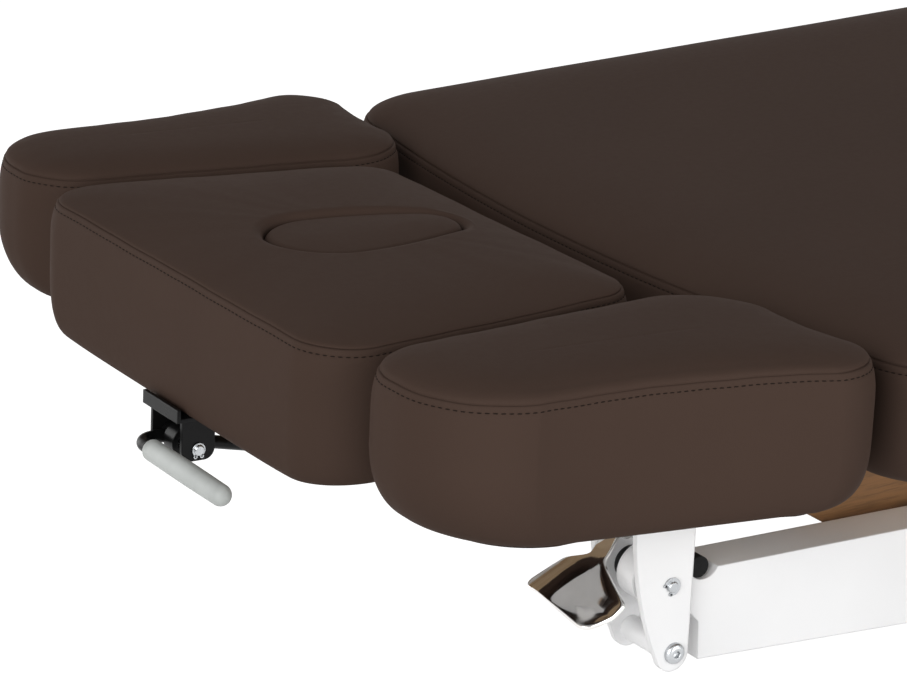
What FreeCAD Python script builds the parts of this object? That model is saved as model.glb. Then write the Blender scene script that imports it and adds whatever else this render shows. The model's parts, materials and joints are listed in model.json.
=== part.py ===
import FreeCAD, Part
import math
import os
import re
import Sketcher
from FreeCAD import Placement, Rotation, Vector

# An electric massage table: head end at -X, foot end at +X, the user's right side at -Y.
# The origin is on the floor under the middle of the table's length and width.
# Lengths are in millimetres, angles in degrees.
sizes = {
    # cushions, measured along their top seam
    "table_width": 800,
    "foot_end_x": 954,
    "main_length": 1541,
    "main_bow": 31.75,           # how far the head edge curves back at the sides
    "main_head_corner": 85,
    "main_foot_corner": 60,
    "main_thick": 92,            # underside to top seam
    "seam_height": 714.4,        # floor to the main cushion's top seam
    "main_crown": 17,
    "head_crown": 12,            # of the headrest, the armrests and the plug
    "main_crown_reach": 110,     # from the seam in to where the crown levels out
    "headrest_crown_reach": 100,
    "armrest_crown_reach": 60,
    "under_tuck": 14,            # how far the sides draw in at the underside
    "seam_tuck": 4.5,            # and at the top seam
    "board_thick": 12,
    "board_inset": 26,           # cushion edge to board edge
    "cut_over": 1,               # a cutting piece beyond what it cuts
    # head section, which slopes up towards the head
    "head_gap": 49,
    "head_rise": 20.6,           # headrest seam above the main seam, at its back edge
    "head_pitch": 3.01,
    "headrest_length": 289,
    "headrest_front_width": 450,
    "headrest_back_width": 366,
    "headrest_bow": 2,
    "headrest_front_corner": 43,
    "headrest_back_corner": 35,
    "headrest_thick": 106,
    # face opening and its plug
    "egg_back": 44,              # headrest back edge to the narrow end
    "egg_length": 159,
    "egg_width": 96,
    "egg_tip": 22,               # radius of the narrow end
    "egg_lean": 22,              # how far round the tip its sides start
    "egg_swell": 5.5,            # and how far they bulge
    "plug_gap": 0.3,
    "plug_depth": 46,            # plug below the top seam
    "plug_round": 5,
    # armrests
    "armrest_head_set": 14,      # armrest head end behind the headrest's
    "armrest_inner_head": 6,     # gap to the headrest at the head end
    "armrest_inner_back": 9,    # and at the back
    "armrest_outer_head": 46,    # inside the table's half width at the head end
    "armrest_outer_back": 2,     # outside it at the back corner
    "armrest_outer_bow": 11,
    "armrest_main_gap": 7,
    "armrest_back_set": 4,       # outer back corner ahead of the main cushion's curve
    "armrest_back_bow": 4,
    "armrest_head_inner_corner": 50,
    "armrest_head_outer_corner": 78,
    "armrest_back_outer_corner": 40,
    "armrest_back_inner_corner": 40,
    "armrest_thick": 110,
    "armrest_head_tuck": 20,     # how much more the underside draws in at the head end
    # armrest fork, hung under the armrest on its tilt pin
    "fork_inset": 125,           # table edge to the fork's middle plane
    "fork_clear": 48,            # between the fork plates
    "fork_plate": 5,
    "fork_front": 33,            # plate edges from the pin
    "fork_back": 17.8,
    "fork_sweep": 8,             # how far the front edge has swept back below the pin
    "fork_base": 6,
    "fork_base_front": 80,
    "fork_base_back": 40,
    "fork_base_wide": 110,
    "pin_forward": 48.8,         # headrest back edge to the tilt pin
    "pin_drop": 65.8,            # armrest underside to the tilt pin
    "fork_pin_radius": 4,
    "clip_radius": 6.5,
    "clip_thick": 1.5,
    "bolt_back": 5.6,
    "bolt_drop": 51.3,
    "bolt_end_round": 14,
    "bolt_end_low": 4.2,
    "bolt_radius": 4,
    "bolt_head_radius": 7.5,
    "bolt_head_high": 4.4,
    "bolt_socket": 2.7,
    "bolt_socket_deep": 2.6,
    "spacer_radius": 9,
    # release paddle
    "paddle_pin_forward": 13.7,
    "paddle_pin_rise": 32.3,
    "paddle_pin_radius": 4,
    "paddle_hub_radius": 7.5,
    "paddle_thick": 3,
    "paddle_long": 47,
    "paddle_wide": 75,
    "paddle_corner": 15,
    "paddle_slope": 23,
    "paddle_neck_wide": 16,
    "paddle_neck_lap": 12,
    "paddle_forward": 18.7,      # hub to the paddle's back edge
    "paddle_drop": 25.5,
    "paddle_outset": 5.5,        # paddle edge beyond the outer fork plate
    # side beams
    "beam_wide": 38,
    "beam_wall": 3,
    "beam_nose": 22,             # tilt pin to the beam's front face
    "beam_nose_top": 2.2,        # pin up to the top edge
    "beam_nose_low": 28,
    "beam_nose_cut": 10,
    "beam_chin": 67,
    "beam_chin_back": 9,
    "beam_straight": 418,        # pin to where the beam levels out
    "beam_deep": 83.2,
    "beam_foot_set": 90,         # main foot end to the beam's end
    "beam_foot_deep": 54,
    "beam_taper": 390,
    "beam_solid": 66,            # solid length of the nose
    "beam_lug_radius": 20,
    "beam_lug_wide": 20,
    "bush_radius": 11,
    "collar_radius": 12.5,
    "notch_radius": 13.5,
    "notch_back": 35,
    "notch_rise": 5,             # nose top edge to the notch's middle
    "buffer_radius": 8,
    "buffer_turn": 36.87,        # below level, from the notch's middle to the buffer's
    "cap_thick": 3,
    # frame
    "rail_high": 78.4,
    "rail_wide": 28,
    "rail_from_beam": 16,
    "rail_head_set": 31,         # main head edge to the rail's head end
    "rail_bevel_long": 49,
    "rail_bevel_high": 34,
    "rail_foot_set": 100,
    "tube_size": 40,
    "tube_wall": 3,
    "head_tube_set": 186,
    "foot_tube_set": 180,
    # lift
    "lift_radius": 600,
    "lift_angle": 35,
    "lift_spacing": 500,
    "lift_offset": 790.5,        # main cushion's head end to the front base pivot
    "base_pivot_high": 110,
    "arm_y": 165,
    "arm_thick": 16,
    "arm_deep": 50,
    "ear_thick": 8,
    "ear_radius": 20,
    "round_short": 1,            # a full round end stops this short of its middle
    "side_gap": 0.5,
    "pivot_radius": 10,
    "run_gap": 0.05,
    "pin_head_radius": 14,
    "pin_head_thick": 4,
    "arm_tube_radius": 20,
    "arm_tube_along": 120,
    "rear_tube_along": 300,
    # actuator
    "actuator_back": 579.5,      # front base pivot to the actuator's base pin
    "actuator_pin_high": 107,
    "actuator_lug_radius": 180,
    "actuator_lug_angle": 25,
    "actuator_pin_radius": 6,
    "actuator_eye_radius": 17,
    "actuator_eye_hole": 10.6,
    "actuator_dip": 0.435,       # the open rod eye hangs this angle low at mid travel
    "actuator_over": 0.8,        # and this much long
    "actuator_eye_wide": 26,
    "actuator_lug_thick": 6,
    "lug_half": 16,              # lugs of the actuator and the gas spring, from their pins
    "lug_end": 14,
    "lug_round": 12,
    "lug_foot": 16,              # the arm's lug on its tube
    "lug_foot_up": 10,
    "pin_end": 3,                # pins beyond their lugs
    "housing_eye_radius": 14,
    "gearbox_start": 28,
    "gearbox_long": 100,
    "gearbox_half": 28,
    "motor_radius": 27,
    "motor_long": 120,
    "motor_offset": 56,
    "motor_cap_step": 6,
    "motor_cap_long": 8,
    "outer_tube_radius": 23,
    "outer_tube_long": 250,
    "outer_tube_floor": 2,
    "rod_radius": 12,
    "rod_start": 190,
    "slide_gap": 0.08,
    # base
    "base_half": 260,
    "base_long": 1260,
    "base_low": 40,
    "foot_set": 40,
    "foot_radius": 28,
    "foot_high": 14,
    "stem_radius": 6,
    # headrest hinge
    "hinge_back": 5,             # headrest back edge to the hinge pin
    "hinge_drop": 42.4,          # main cushion underside to the hinge pin
    "hinge_radius": 8,
    "hinge_half": 112,
    "hinge_arm_in": 84,
    "hinge_arm_thick": 10,
    "hinge_support_in": 96,
    "hinge_support_thick": 8,
    "hinge_eye_radius": 15,
    "hinge_arm_long": 100,
    "hinge_arm_back": 4,
    "hinge_arm_deep": 12,
    "hinge_arm_round": 10,
    # gas spring
    "spring_pin_drop": 28,
    "spring_pin_radius": 5,
    "spring_eye_radius": 12,
    "spring_eye_wide": 24,
    "spring_lug_thick": 5,
    "cylinder_radius": 11,
    "cylinder_long": 300,
    "cylinder_start": 8,
    "cylinder_floor": 40,
    "spring_rod_radius": 5,
    "spring_rod_in": 200,
    "spring_hole": 7.5,
    "spring_end_wide": 14,
    # headrest release lever
    "lever_pin_set": 16,         # headrest front edge to the lever pin
    "lever_pin_drop": 26,
    "lever_pin_radius": 4,
    "cheek_in": 21,
    "cheek_thick": 3,
    "cheek_long": 27,
    "cheek_below": 8.5,
    "bracket_long": 56,
    "bracket_wide": 53,
    "bracket_lip": 10,
    "screw_near": 8,             # behind the cheeks
    "screw_far": 18,
    "screw_out": 15,
    "screw_radius": 4.5,
    "screw_high": 2.5,
    "lever_hub_radius": 8,
    "lever_hub_wide": 11,
    "lever_y": 13.5,
    "lever_reach": 30.5,
    "lever_rod_radius": 5,
    "lever_bend": 14,
    "grip_radius": 8,
    "grip_start": 9,
    "grip_long": 112,
    "grip_end_wall": 12,
    "grip_round": 3,
    # control box
    "box_long": 140,
    "box_wide": 220,
    "box_high": 70,
    "box_round": 8,
    "inlet_wide": 28,
    "inlet_high": 22,
    "inlet_deep": 24,
    "inlet_wall": 2.5,
    "inlet_flange": 3,
    "inlet_flange_side": 9,
    "inlet_flange_edge": 3,
}

# Places worked out from the sizes.
places = {
    "half_width": "table_width / 2",
    "main_head": "foot_end_x - main_length",
    "main_under": "seam_height - main_thick",
    "frame_top": "main_under - rail_high",
    "tube_under": "frame_top - tube_size",
    "head_x": "main_head - head_gap",
    "head_z": "seam_height + head_rise",
    "fork_y": "half_width - fork_inset",
    "fork_in": "fork_clear / 2",
    "fork_out": "fork_clear / 2 + fork_plate",
    "pin_z": "-(armrest_thick + pin_drop)",
    "fork_top": "-(armrest_thick + fork_base)",
    "paddle_pin_x": "-(pin_forward + paddle_pin_forward)",
    "paddle_pin_z": "pin_z + paddle_pin_rise",
    "bolt_x": "bolt_back - pin_forward",
    "bolt_z": "pin_z - bolt_drop",
    "tilt_x": "head_x - pin_forward * cos(head_pitch) + pin_z * sin(head_pitch)",
    "tilt_z": "head_z + pin_forward * sin(head_pitch) + pin_z * cos(head_pitch)",
    "nose_x": "tilt_x + beam_nose",
    "level_x": "tilt_x + beam_straight",
    "notch_x": "tilt_x + notch_back",
    "notch_z": "tilt_z + beam_nose_top + notch_rise",
    "buffer_slip": "notch_radius - buffer_radius",
    "beam_end": "foot_end_x - beam_foot_set",
    "beam_low": "frame_top - beam_deep",
    "beam_in": "fork_y - beam_wide / 2",
    "beam_out": "fork_y + beam_wide / 2",
    "rail_out": "beam_in - rail_from_beam",
    "rail_in": "rail_out - rail_wide",
    "head_tube_x": "main_head + head_tube_set",
    "foot_tube_x": "foot_end_x - foot_tube_set",
    "front_pivot": "main_head + lift_offset",
    "rear_pivot": "front_pivot + lift_spacing",
    "pivot_shift": "lift_radius * cos(lift_angle)",
    "front_top": "front_pivot - pivot_shift",
    "rear_top": "rear_pivot - pivot_shift",
    "top_pivot_high": "base_pivot_high + lift_radius * sin(lift_angle)",
    "ear_in": "arm_y - arm_thick / 2 - side_gap - ear_thick",
    "ear_out": "arm_y + arm_thick / 2 + side_gap",
    "base_top": "base_low + tube_size",
    "base_head": "front_pivot - base_long / 2",
    "base_foot": "front_pivot + base_long / 2",
    "actuator_x": "front_pivot - actuator_back",
    "lug_x": "-actuator_lug_radius * cos(actuator_lug_angle)",
    "lug_z": "actuator_lug_radius * sin(actuator_lug_angle)",
    "lug_in": "actuator_eye_wide / 2 + side_gap",
    "lug_out": "lug_in + actuator_lug_thick",
    "lug_sweep": "lift_angle + actuator_lug_angle",
    "actuator_run": "actuator_back - actuator_lug_radius * cos(lug_sweep)",
    "actuator_climb": "base_pivot_high + actuator_lug_radius * sin(lug_sweep) - actuator_pin_high",
    "actuator_length": "sqrt(actuator_run ^ 2 + actuator_climb ^ 2)",
    "gearbox_end": "gearbox_start + gearbox_long",
    "hinge_x": "head_x + hinge_back",
    "hinge_z": "main_under - hinge_drop",
    "hinge_local_x": "hinge_back * cos(head_pitch) - (hinge_z - head_z) * sin(head_pitch)",
    "hinge_local_z": "hinge_back * sin(head_pitch) + (hinge_z - head_z) * cos(head_pitch)",
    "cheek_out": "cheek_in + cheek_thick",
    "handle_x": "lever_x - lever_reach",
    "grip_end": "-(grip_start + grip_long)",
    "lever_x": "lever_pin_set - headrest_length",
    "lever_z": "-(headrest_thick + lever_pin_drop)",
    "bracket_top": "-headrest_thick",
    "spring_x": "head_tube_x",
    "spring_z": "tube_under - spring_pin_drop",
    "lever_world_x": "head_x + lever_x * cos(head_pitch) + lever_z * sin(head_pitch)",
    "lever_world_z": "head_z - lever_x * sin(head_pitch) + lever_z * cos(head_pitch)",
    "spring_lug_in": "spring_eye_wide / 2 + side_gap",
    "spring_lug_out": "spring_lug_in + spring_lug_thick",
    "spring_run": "spring_x - lever_world_x",
    "spring_climb": "lever_world_z - spring_z",
    "spring_length": "sqrt(spring_run ^ 2 + spring_climb ^ 2)",
    "box_x": "foot_tube_x - box_long / 2",
    "box_end": "box_x + box_long",
    "box_middle": "tube_under - box_high / 2",
}

doc = FreeCAD.newDocument("massage_table")
dims = doc.addObject("Spreadsheet::Sheet", "dims")
for row, (alias, value) in enumerate(sizes.items(), 1):
    dims.set(f"A{row}", alias)
    dims.set(f"B{row}", str(value))
    dims.setAlias(f"B{row}", alias)
doc.recompute()

nodes = {}


# An expression on the sheet, from words: places are spelled out until only sizes are left.
def ex(text):
    def spell(match):
        word = match.group(0)
        if word in places:
            return "(" + ex(places[word]) + ")"
        return "dims." + word if word in sizes else word
    return re.sub(r"[a-z][a-z_]*", spell, str(text))


def num(text):
    value = dims.evalExpression(ex(text))
    return float(getattr(value, "Value", value))


def bind(thing, prop, text):
    thing.setExpression(prop, ex(text))


def keep(name, thing):
    thing.Label = name
    nodes[name] = thing
    return thing


def block(name, x, y, z):
    box = doc.addObject("Part::Box", name)
    for prop, axis, (low, high) in (("Length", "x", x), ("Width", "y", y), ("Height", "z", z)):
        bind(box, prop, f"({high}) - ({low})")
        bind(box, f"Placement.Base.{axis}", low)
    return box


turns = {
    "x": Rotation(Vector(0, 1, 0), 90),
    "y": Rotation(Vector(1, 0, 0), -90),
    "z": Rotation(Vector(0, 0, 1), 0),
}


# A round bar along one axis, from span[0] to span[1], through the point given by the other two.
def rod(name, radius, axis, span, at):
    bar = doc.addObject("Part::Cylinder", name)
    bind(bar, "Radius", radius)
    bind(bar, "Height", f"({span[1]}) - ({span[0]})")
    bar.Placement = Placement(Vector(), turns[axis])
    others = [letter for letter in "xyz" if letter != axis]
    bind(bar, f"Placement.Base.{axis}", span[0])
    for letter, place in zip(others, at):
        bind(bar, f"Placement.Base.{letter}", place)
    return bar


def fuse(name, *things):
    joined = doc.addObject("Part::MultiFuse", name)
    joined.Shapes = list(things)
    return joined


def cut(name, base, *tools):
    tool = tools[0] if len(tools) == 1 else fuse(name + "_tools", *tools)
    left = doc.addObject("Part::Cut", name)
    left.Base = base
    left.Tool = tool
    return left


def group(name, *things):
    together = doc.addObject("Part::Compound", name)
    together.Links = list(things)
    return together


def mirror(name, thing):
    other = doc.addObject("Part::Mirroring", name)
    other.Source = thing
    other.Normal = Vector(0, 1, 0)
    return other


def both_sides(name, *things):
    side = group(name + "_right", *things)
    return group(name, side, mirror(name + "_left", side))


def square_tube(name, x, y, z, along):
    spans = {"x": x, "y": y, "z": z}
    inner = {}
    for axis, (low, high) in spans.items():
        hollow = (f"({low}) + tube_wall", f"({high}) - tube_wall")
        inner[axis] = (low, high) if axis == along else hollow
    outer = block(name + "_outer", x, y, z)
    return cut(name, outer, block(name + "_bore", inner["x"], inner["y"], inner["z"]))


# Turns a piece about +Y and moves it, by the sheet's own values.
def place(thing, x, z, angle):
    thing.Placement = Placement(Vector(), Rotation(Vector(0, 1, 0), 1))
    bind(thing, "Placement.Rotation.Angle", angle)
    bind(thing, "Placement.Base.x", x)
    bind(thing, "Placement.Base.z", z)
    return thing


# Pieces of the head section are drawn level, from the headrest's back edge, and then sloped.
def on_head(thing):
    return place(thing, "head_x", "head_z", "head_pitch")


# A plate in the XZ plane between two Y places. Corners are (x, z) with an optional round, holes are
# (x, z, radius), and bends gives a point (x, z) that the edge from a corner curves through.
def plate(name, y, corners, holes=(), bends=None):
    body = doc.addObject("PartDesign::Body", name)
    origin_plane = [f for f in body.Origin.OriginFeatures if f.Role == "XZ_Plane"][0]
    sketch = body.newObject("Sketcher::SketchObject", name + "_profile")
    sketch.AttachmentSupport = [(origin_plane, "")]
    sketch.MapMode = "FlatFace"
    bind(sketch, "AttachmentOffset.Base.z", f"-({y[1]})")

    def pin_down(shape, spot, where):
        for kind, text in (("DistanceX", where[0]), ("DistanceY", where[1])):
            which = sketch.addConstraint(Sketcher.Constraint(kind, -1, 1, shape, spot, num(text)))
            sketch.setExpression(f"Constraints[{which}]", ex(text))
    points = [Vector(num(corner[0]), num(corner[1]), 0) for corner in corners]
    ends = []
    for start, end, via in edge_list(points, bends or {}):
        if via is None:
            sketch.addGeometry(Part.LineSegment(start, end), False)
            ends.append((1, 2))
        elif (via - start).cross(end - via).z > 0:
            sketch.addGeometry(Part.Arc(start, via, end), False)
            ends.append((1, 2))
        else:
            sketch.addGeometry(Part.Arc(end, via, start), False)
            ends.append((2, 1))
    count = len(points)
    for i in range(count):
        after = (i + 1) % count
        sketch.addConstraint(Sketcher.Constraint("Coincident", i, ends[i][1], after, ends[after][0]))
    for i, corner in enumerate(corners):
        pin_down(i, ends[i][0], corner)
    for i, via in (bends or {}).items():
        mark = sketch.addGeometry(Part.Point(Vector(num(via[0]), num(via[1]), 0)), True)
        sketch.addConstraint(Sketcher.Constraint("PointOnObject", mark, 1, i))
        pin_down(mark, 1, via)
    for hole in holes:
        centre = Vector(num(hole[0]), num(hole[1]), 0)
        ring = sketch.addGeometry(Part.Circle(centre, Vector(0, 0, 1), num(hole[2])), False)
        which = sketch.addConstraint(Sketcher.Constraint("Radius", ring, num(hole[2])))
        sketch.setExpression(f"Constraints[{which}]", ex(hole[2]))
        pin_down(ring, 3, hole)
    pad = body.newObject("PartDesign::Pad", name + "_pad")
    pad.Profile = sketch
    bind(pad, "Length", f"({y[1]}) - ({y[0]})")
    doc.recompute()
    rounds = {}
    for point, corner in zip(points, corners):
        if len(corner) > 2:
            rounds.setdefault(corner[2], []).append(point)
    last = pad
    for number, (radius, spots) in enumerate(rounds.items()):
        edges = [f"Edge{i}" for i, edge in enumerate(last.Shape.Edges, 1) if stands_at(edge, spots)]
        fillet = body.newObject("PartDesign::Fillet", f"{name}_round{number}")
        fillet.Base = (last, edges)
        bind(fillet, "Radius", radius)
        doc.recompute()
        last = fillet
    return body


# Each edge of a closed profile as start, end and the point that it curves through, if any.
def edge_list(points, bends):
    for i, start in enumerate(points):
        via = bends.get(i)
        end = points[(i + 1) % len(points)]
        yield start, end, via and Vector(num(via[0]), num(via[1]), 0)


# True for an edge across the plate at one of the profile's corners.
def stands_at(edge, spots):
    ends = [vertex.Point for vertex in edge.Vertexes]
    if len(ends) != 2:
        return False
    return any(all(math.hypot(end.x - s.x, end.z - s.y) < 0.01 for end in ends) for s in spots)


# The height of a straight edge at x, between two (x, z) places.
def on_line(start, end, x):
    rise = f"({end[1]}) - ({start[1]})"
    run = f"({end[0]}) - ({start[0]})"
    return f"{start[1]} + ({rise}) * (({x}) - ({start[0]})) / ({run})"


# A round-cornered outline as (start, middle, end) stretches. Corners are (x, y, radius, bow),
# where bow is how far the edge to the next corner bulges out.
def outline(corners):
    points = [Vector(c[0], c[1], 0) for c in corners]
    count = len(points)
    arcs = []
    for i, corner in enumerate(corners):
        back = (points[i - 1] - points[i]).normalize()
        ahead = (points[(i + 1) % count] - points[i]).normalize()
        half = back.getAngle(ahead) / 2
        reach = corner[2] / math.tan(half)
        middle = (back + ahead).normalize() * (corner[2] / math.sin(half) - corner[2])
        arcs.append((points[i] + back * reach, points[i] + middle, points[i] + ahead * reach))
    stretches = []
    for i, corner in enumerate(corners):
        start = arcs[i][2]
        end = arcs[(i + 1) % count][0]
        along = (end - start).normalize()
        outward = Vector(along.y, -along.x, 0)
        stretches.append(arcs[i])
        stretches.append((start, (start + end) * 0.5 + outward * corner[3], end))
    return stretches


def middle_of(stretches):
    xs = [p.x for s in stretches for p in s]
    ys = [p.y for s in stretches for p in s]
    centre = Vector((min(xs) + max(xs)) / 2, (min(ys) + max(ys)) / 2, 0)
    return centre, (max(xs) - min(xs)) / 2, (max(ys) - min(ys)) / 2


# The outline drawn in by an inset all round, and by some more towards the head, at a height.
def section(stretches, inset, height, head_inset=0):
    centre, half_x, half_y = middle_of(stretches)

    def moved(point):
        from_back = (centre.x + half_x - point.x) / (2 * half_x)
        x = centre.x + (point.x - centre.x) * (1 - inset / half_x) + head_inset * from_back
        y = centre.y + (point.y - centre.y) * (1 - inset / half_y)
        return Vector(x, y, height)
    edges = []
    for start, middle, end in stretches:
        a, b, c = moved(start), moved(middle), moved(end)
        bent = ((b - a).cross(c - a)).Length > 1e-3 * (c - a).Length
        edges.append(Part.Arc(a, b, c).toShape() if bent else Part.LineSegment(a, c).toShape())
    return Part.Wire(edges)


def prism(stretches, inset, low, high, head_inset=0):
    return Part.Face(section(stretches, inset, low, head_inset)).extrude(Vector(0, 0, high - low))


# A cushion: sides drawn in at the seam and the underside, and a crowned top. Each level is a height
# with its inset, and how much of the head end's own tuck it takes.
def cushion(stretches, thick, crown, reach, head_tuck):
    tuck = num("under_tuck")
    seam = num("seam_tuck")
    levels = [
        (-thick, tuck, 1),
        (-thick * 0.95, tuck * 0.58, 0.75),
        (-thick * 0.87, tuck * 0.26, 0.48),
        (-thick * 0.74, tuck * 0.06, 0.2),
        (-thick * 0.5, 0, 0),
        (-thick * 0.22, seam * 0.06, 0),
        (-thick * 0.07, seam * 0.4, 0),
        (0, seam, 0),
        (crown * 0.24, seam + reach * 0.05, 0),
        (crown * 0.48, seam + reach * 0.14, 0),
        (crown * 0.72, seam + reach * 0.3, 0),
        (crown * 0.91, seam + reach * 0.56, 0),
        (crown, reach, 0),
    ]
    wires = [section(stretches, inset, z, head_tuck * share) for z, inset, share in levels]
    return Part.makeLoft(wires, True, True)


def feature(name, shape):
    thing = doc.addObject("Part::Feature", name)
    thing.Shape = shape
    return thing


def headrest_outline():
    length = num("headrest_length")
    front = num("headrest_front_width / 2")
    back = num("headrest_back_width / 2")
    bow = num("headrest_bow")
    front_round = num("headrest_front_corner")
    back_round = num("headrest_back_corner")
    return outline([
        (0, -back, back_round, 0),
        (0, back, back_round, bow),
        (-length, front, front_round, 0),
        (-length, -front, front_round, bow),
    ])


# The egg-shaped face opening, blunt towards the head, drawn in by an inset.
def egg_outline(inset):
    narrow = -num("egg_back") - inset
    blunt = num("egg_width / 2") - inset
    tip = num("egg_tip") - inset
    wide_x = -num("egg_back + egg_length - egg_width / 2")
    tip_x = narrow - tip
    lean = math.radians(num("egg_lean"))
    tip_y = tip * math.cos(lean)
    shoulder = tip_x + tip * math.sin(lean)
    side_x = (wide_x + shoulder) / 2
    side_y = (blunt + tip_y) / 2 + num("egg_swell")
    head = wide_x - blunt
    eighth = blunt * math.sqrt(0.5)
    return [
        (Vector(shoulder, -tip_y, 0), Vector(narrow, 0, 0), Vector(shoulder, tip_y, 0)),
        (Vector(shoulder, tip_y, 0), Vector(side_x, side_y, 0), Vector(wide_x, blunt, 0)),
        (Vector(wide_x, blunt, 0), Vector(wide_x - eighth, eighth, 0), Vector(head, 0, 0)),
        (Vector(head, 0, 0), Vector(wide_x - eighth, -eighth, 0), Vector(wide_x, -blunt, 0)),
        (Vector(wide_x, -blunt, 0), Vector(side_x, -side_y, 0), Vector(shoulder, -tip_y, 0)),
    ]


# The right armrest seen from above, in the level head frame.
def armrest_outline():
    head = num("armrest_head_set - headrest_length")
    inner_head = num("headrest_front_width / 2 + armrest_inner_head")
    inner_back = num("headrest_back_width / 2 + armrest_inner_back")
    outer_head = num("half_width - armrest_outer_head")
    outer_back = num("half_width + armrest_outer_back")

    def back_edge(y):
        return num("head_gap - armrest_main_gap") + num("main_bow") * (y / num("half_width")) ** 2
    outer_x = back_edge(outer_back) - num("armrest_back_set")
    return outline([
        (head, -inner_head, num("armrest_head_inner_corner"), 0),
        (head, -outer_head, num("armrest_head_outer_corner"), -num("armrest_outer_bow")),
        (outer_x, -outer_back, num("armrest_back_outer_corner"), -num("armrest_back_bow")),
        (back_edge(inner_back), -inner_back, num("armrest_back_inner_corner"), 0),
    ])


def main_outline():
    half = num("half_width")
    head = num("main_head + main_bow")
    foot = num("foot_end_x")
    return outline([
        (foot, -half, num("main_foot_corner"), 0),
        (foot, half, num("main_foot_corner"), 0),
        (head, half, num("main_head_corner"), num("main_bow")),
        (head, -half, num("main_head_corner"), 0),
    ])


# A cushion with its board let into the underside.
def padded_board(stretches, thick, crown, reach, head_tuck=0, hole=None):
    pad = cushion(stretches, thick, crown, reach, head_tuck)
    board = prism(stretches, num("board_inset"), -thick, -thick + num("board_thick"), head_tuck)
    pad = pad.cut(board)
    if hole is not None:
        over = num("cut_over")
        through = prism(hole, 0, -thick - over, crown + over)
        pad = pad.cut(through)
        board = board.cut(through)
    return pad, board


def main_section():
    pad, board = padded_board(main_outline(), num("main_thick"), num("main_crown"), num("main_crown_reach"))
    for name, shape in (("main_cushion", pad), ("main_board", board)):
        thing = keep(name, feature(name, shape))
        bind(thing, "Placement.Base.z", "seam_height")


def headrest_section():
    pad, board = padded_board(headrest_outline(), num("headrest_thick"), num("head_crown"),
                              num("headrest_crown_reach"), hole=egg_outline(0))
    on_head(keep("headrest_cushion", feature("headrest_cushion", pad)))
    on_head(keep("headrest_board", feature("headrest_board", board)))
    egg = egg_outline(num("plug_gap"))
    edge = num("plug_round")
    low = -num("plug_depth")
    top = num("head_crown")
    levels = [
        (low, edge * 0.7),
        (low + edge, 0),
        (top - edge * 1.6, 0),
        (top - edge * 0.4, edge * 0.5),
        (top, edge * 1.6),
    ]
    plug = Part.makeLoft([section(egg, inset, z) for z, inset in levels], True, True)
    on_head(keep("face_plug", feature("face_plug", plug)))


def armrest_section():
    pad, board = padded_board(armrest_outline(), num("armrest_thick"), num("head_crown"),
                              num("armrest_crown_reach"), num("armrest_head_tuck"))
    for name, shape in (("armrest_cushion", pad), ("armrest_board", board)):
        right = on_head(keep("right_" + name, feature("right_" + name, shape)))
        keep("left_" + name, mirror("left_" + name, right))


# Keeps a piece of the right armrest and its mirror image on the left one.
def keep_sides(name, thing):
    right = keep("right_" + name, thing)
    keep("left_" + name, mirror("left_" + name, right))


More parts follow.
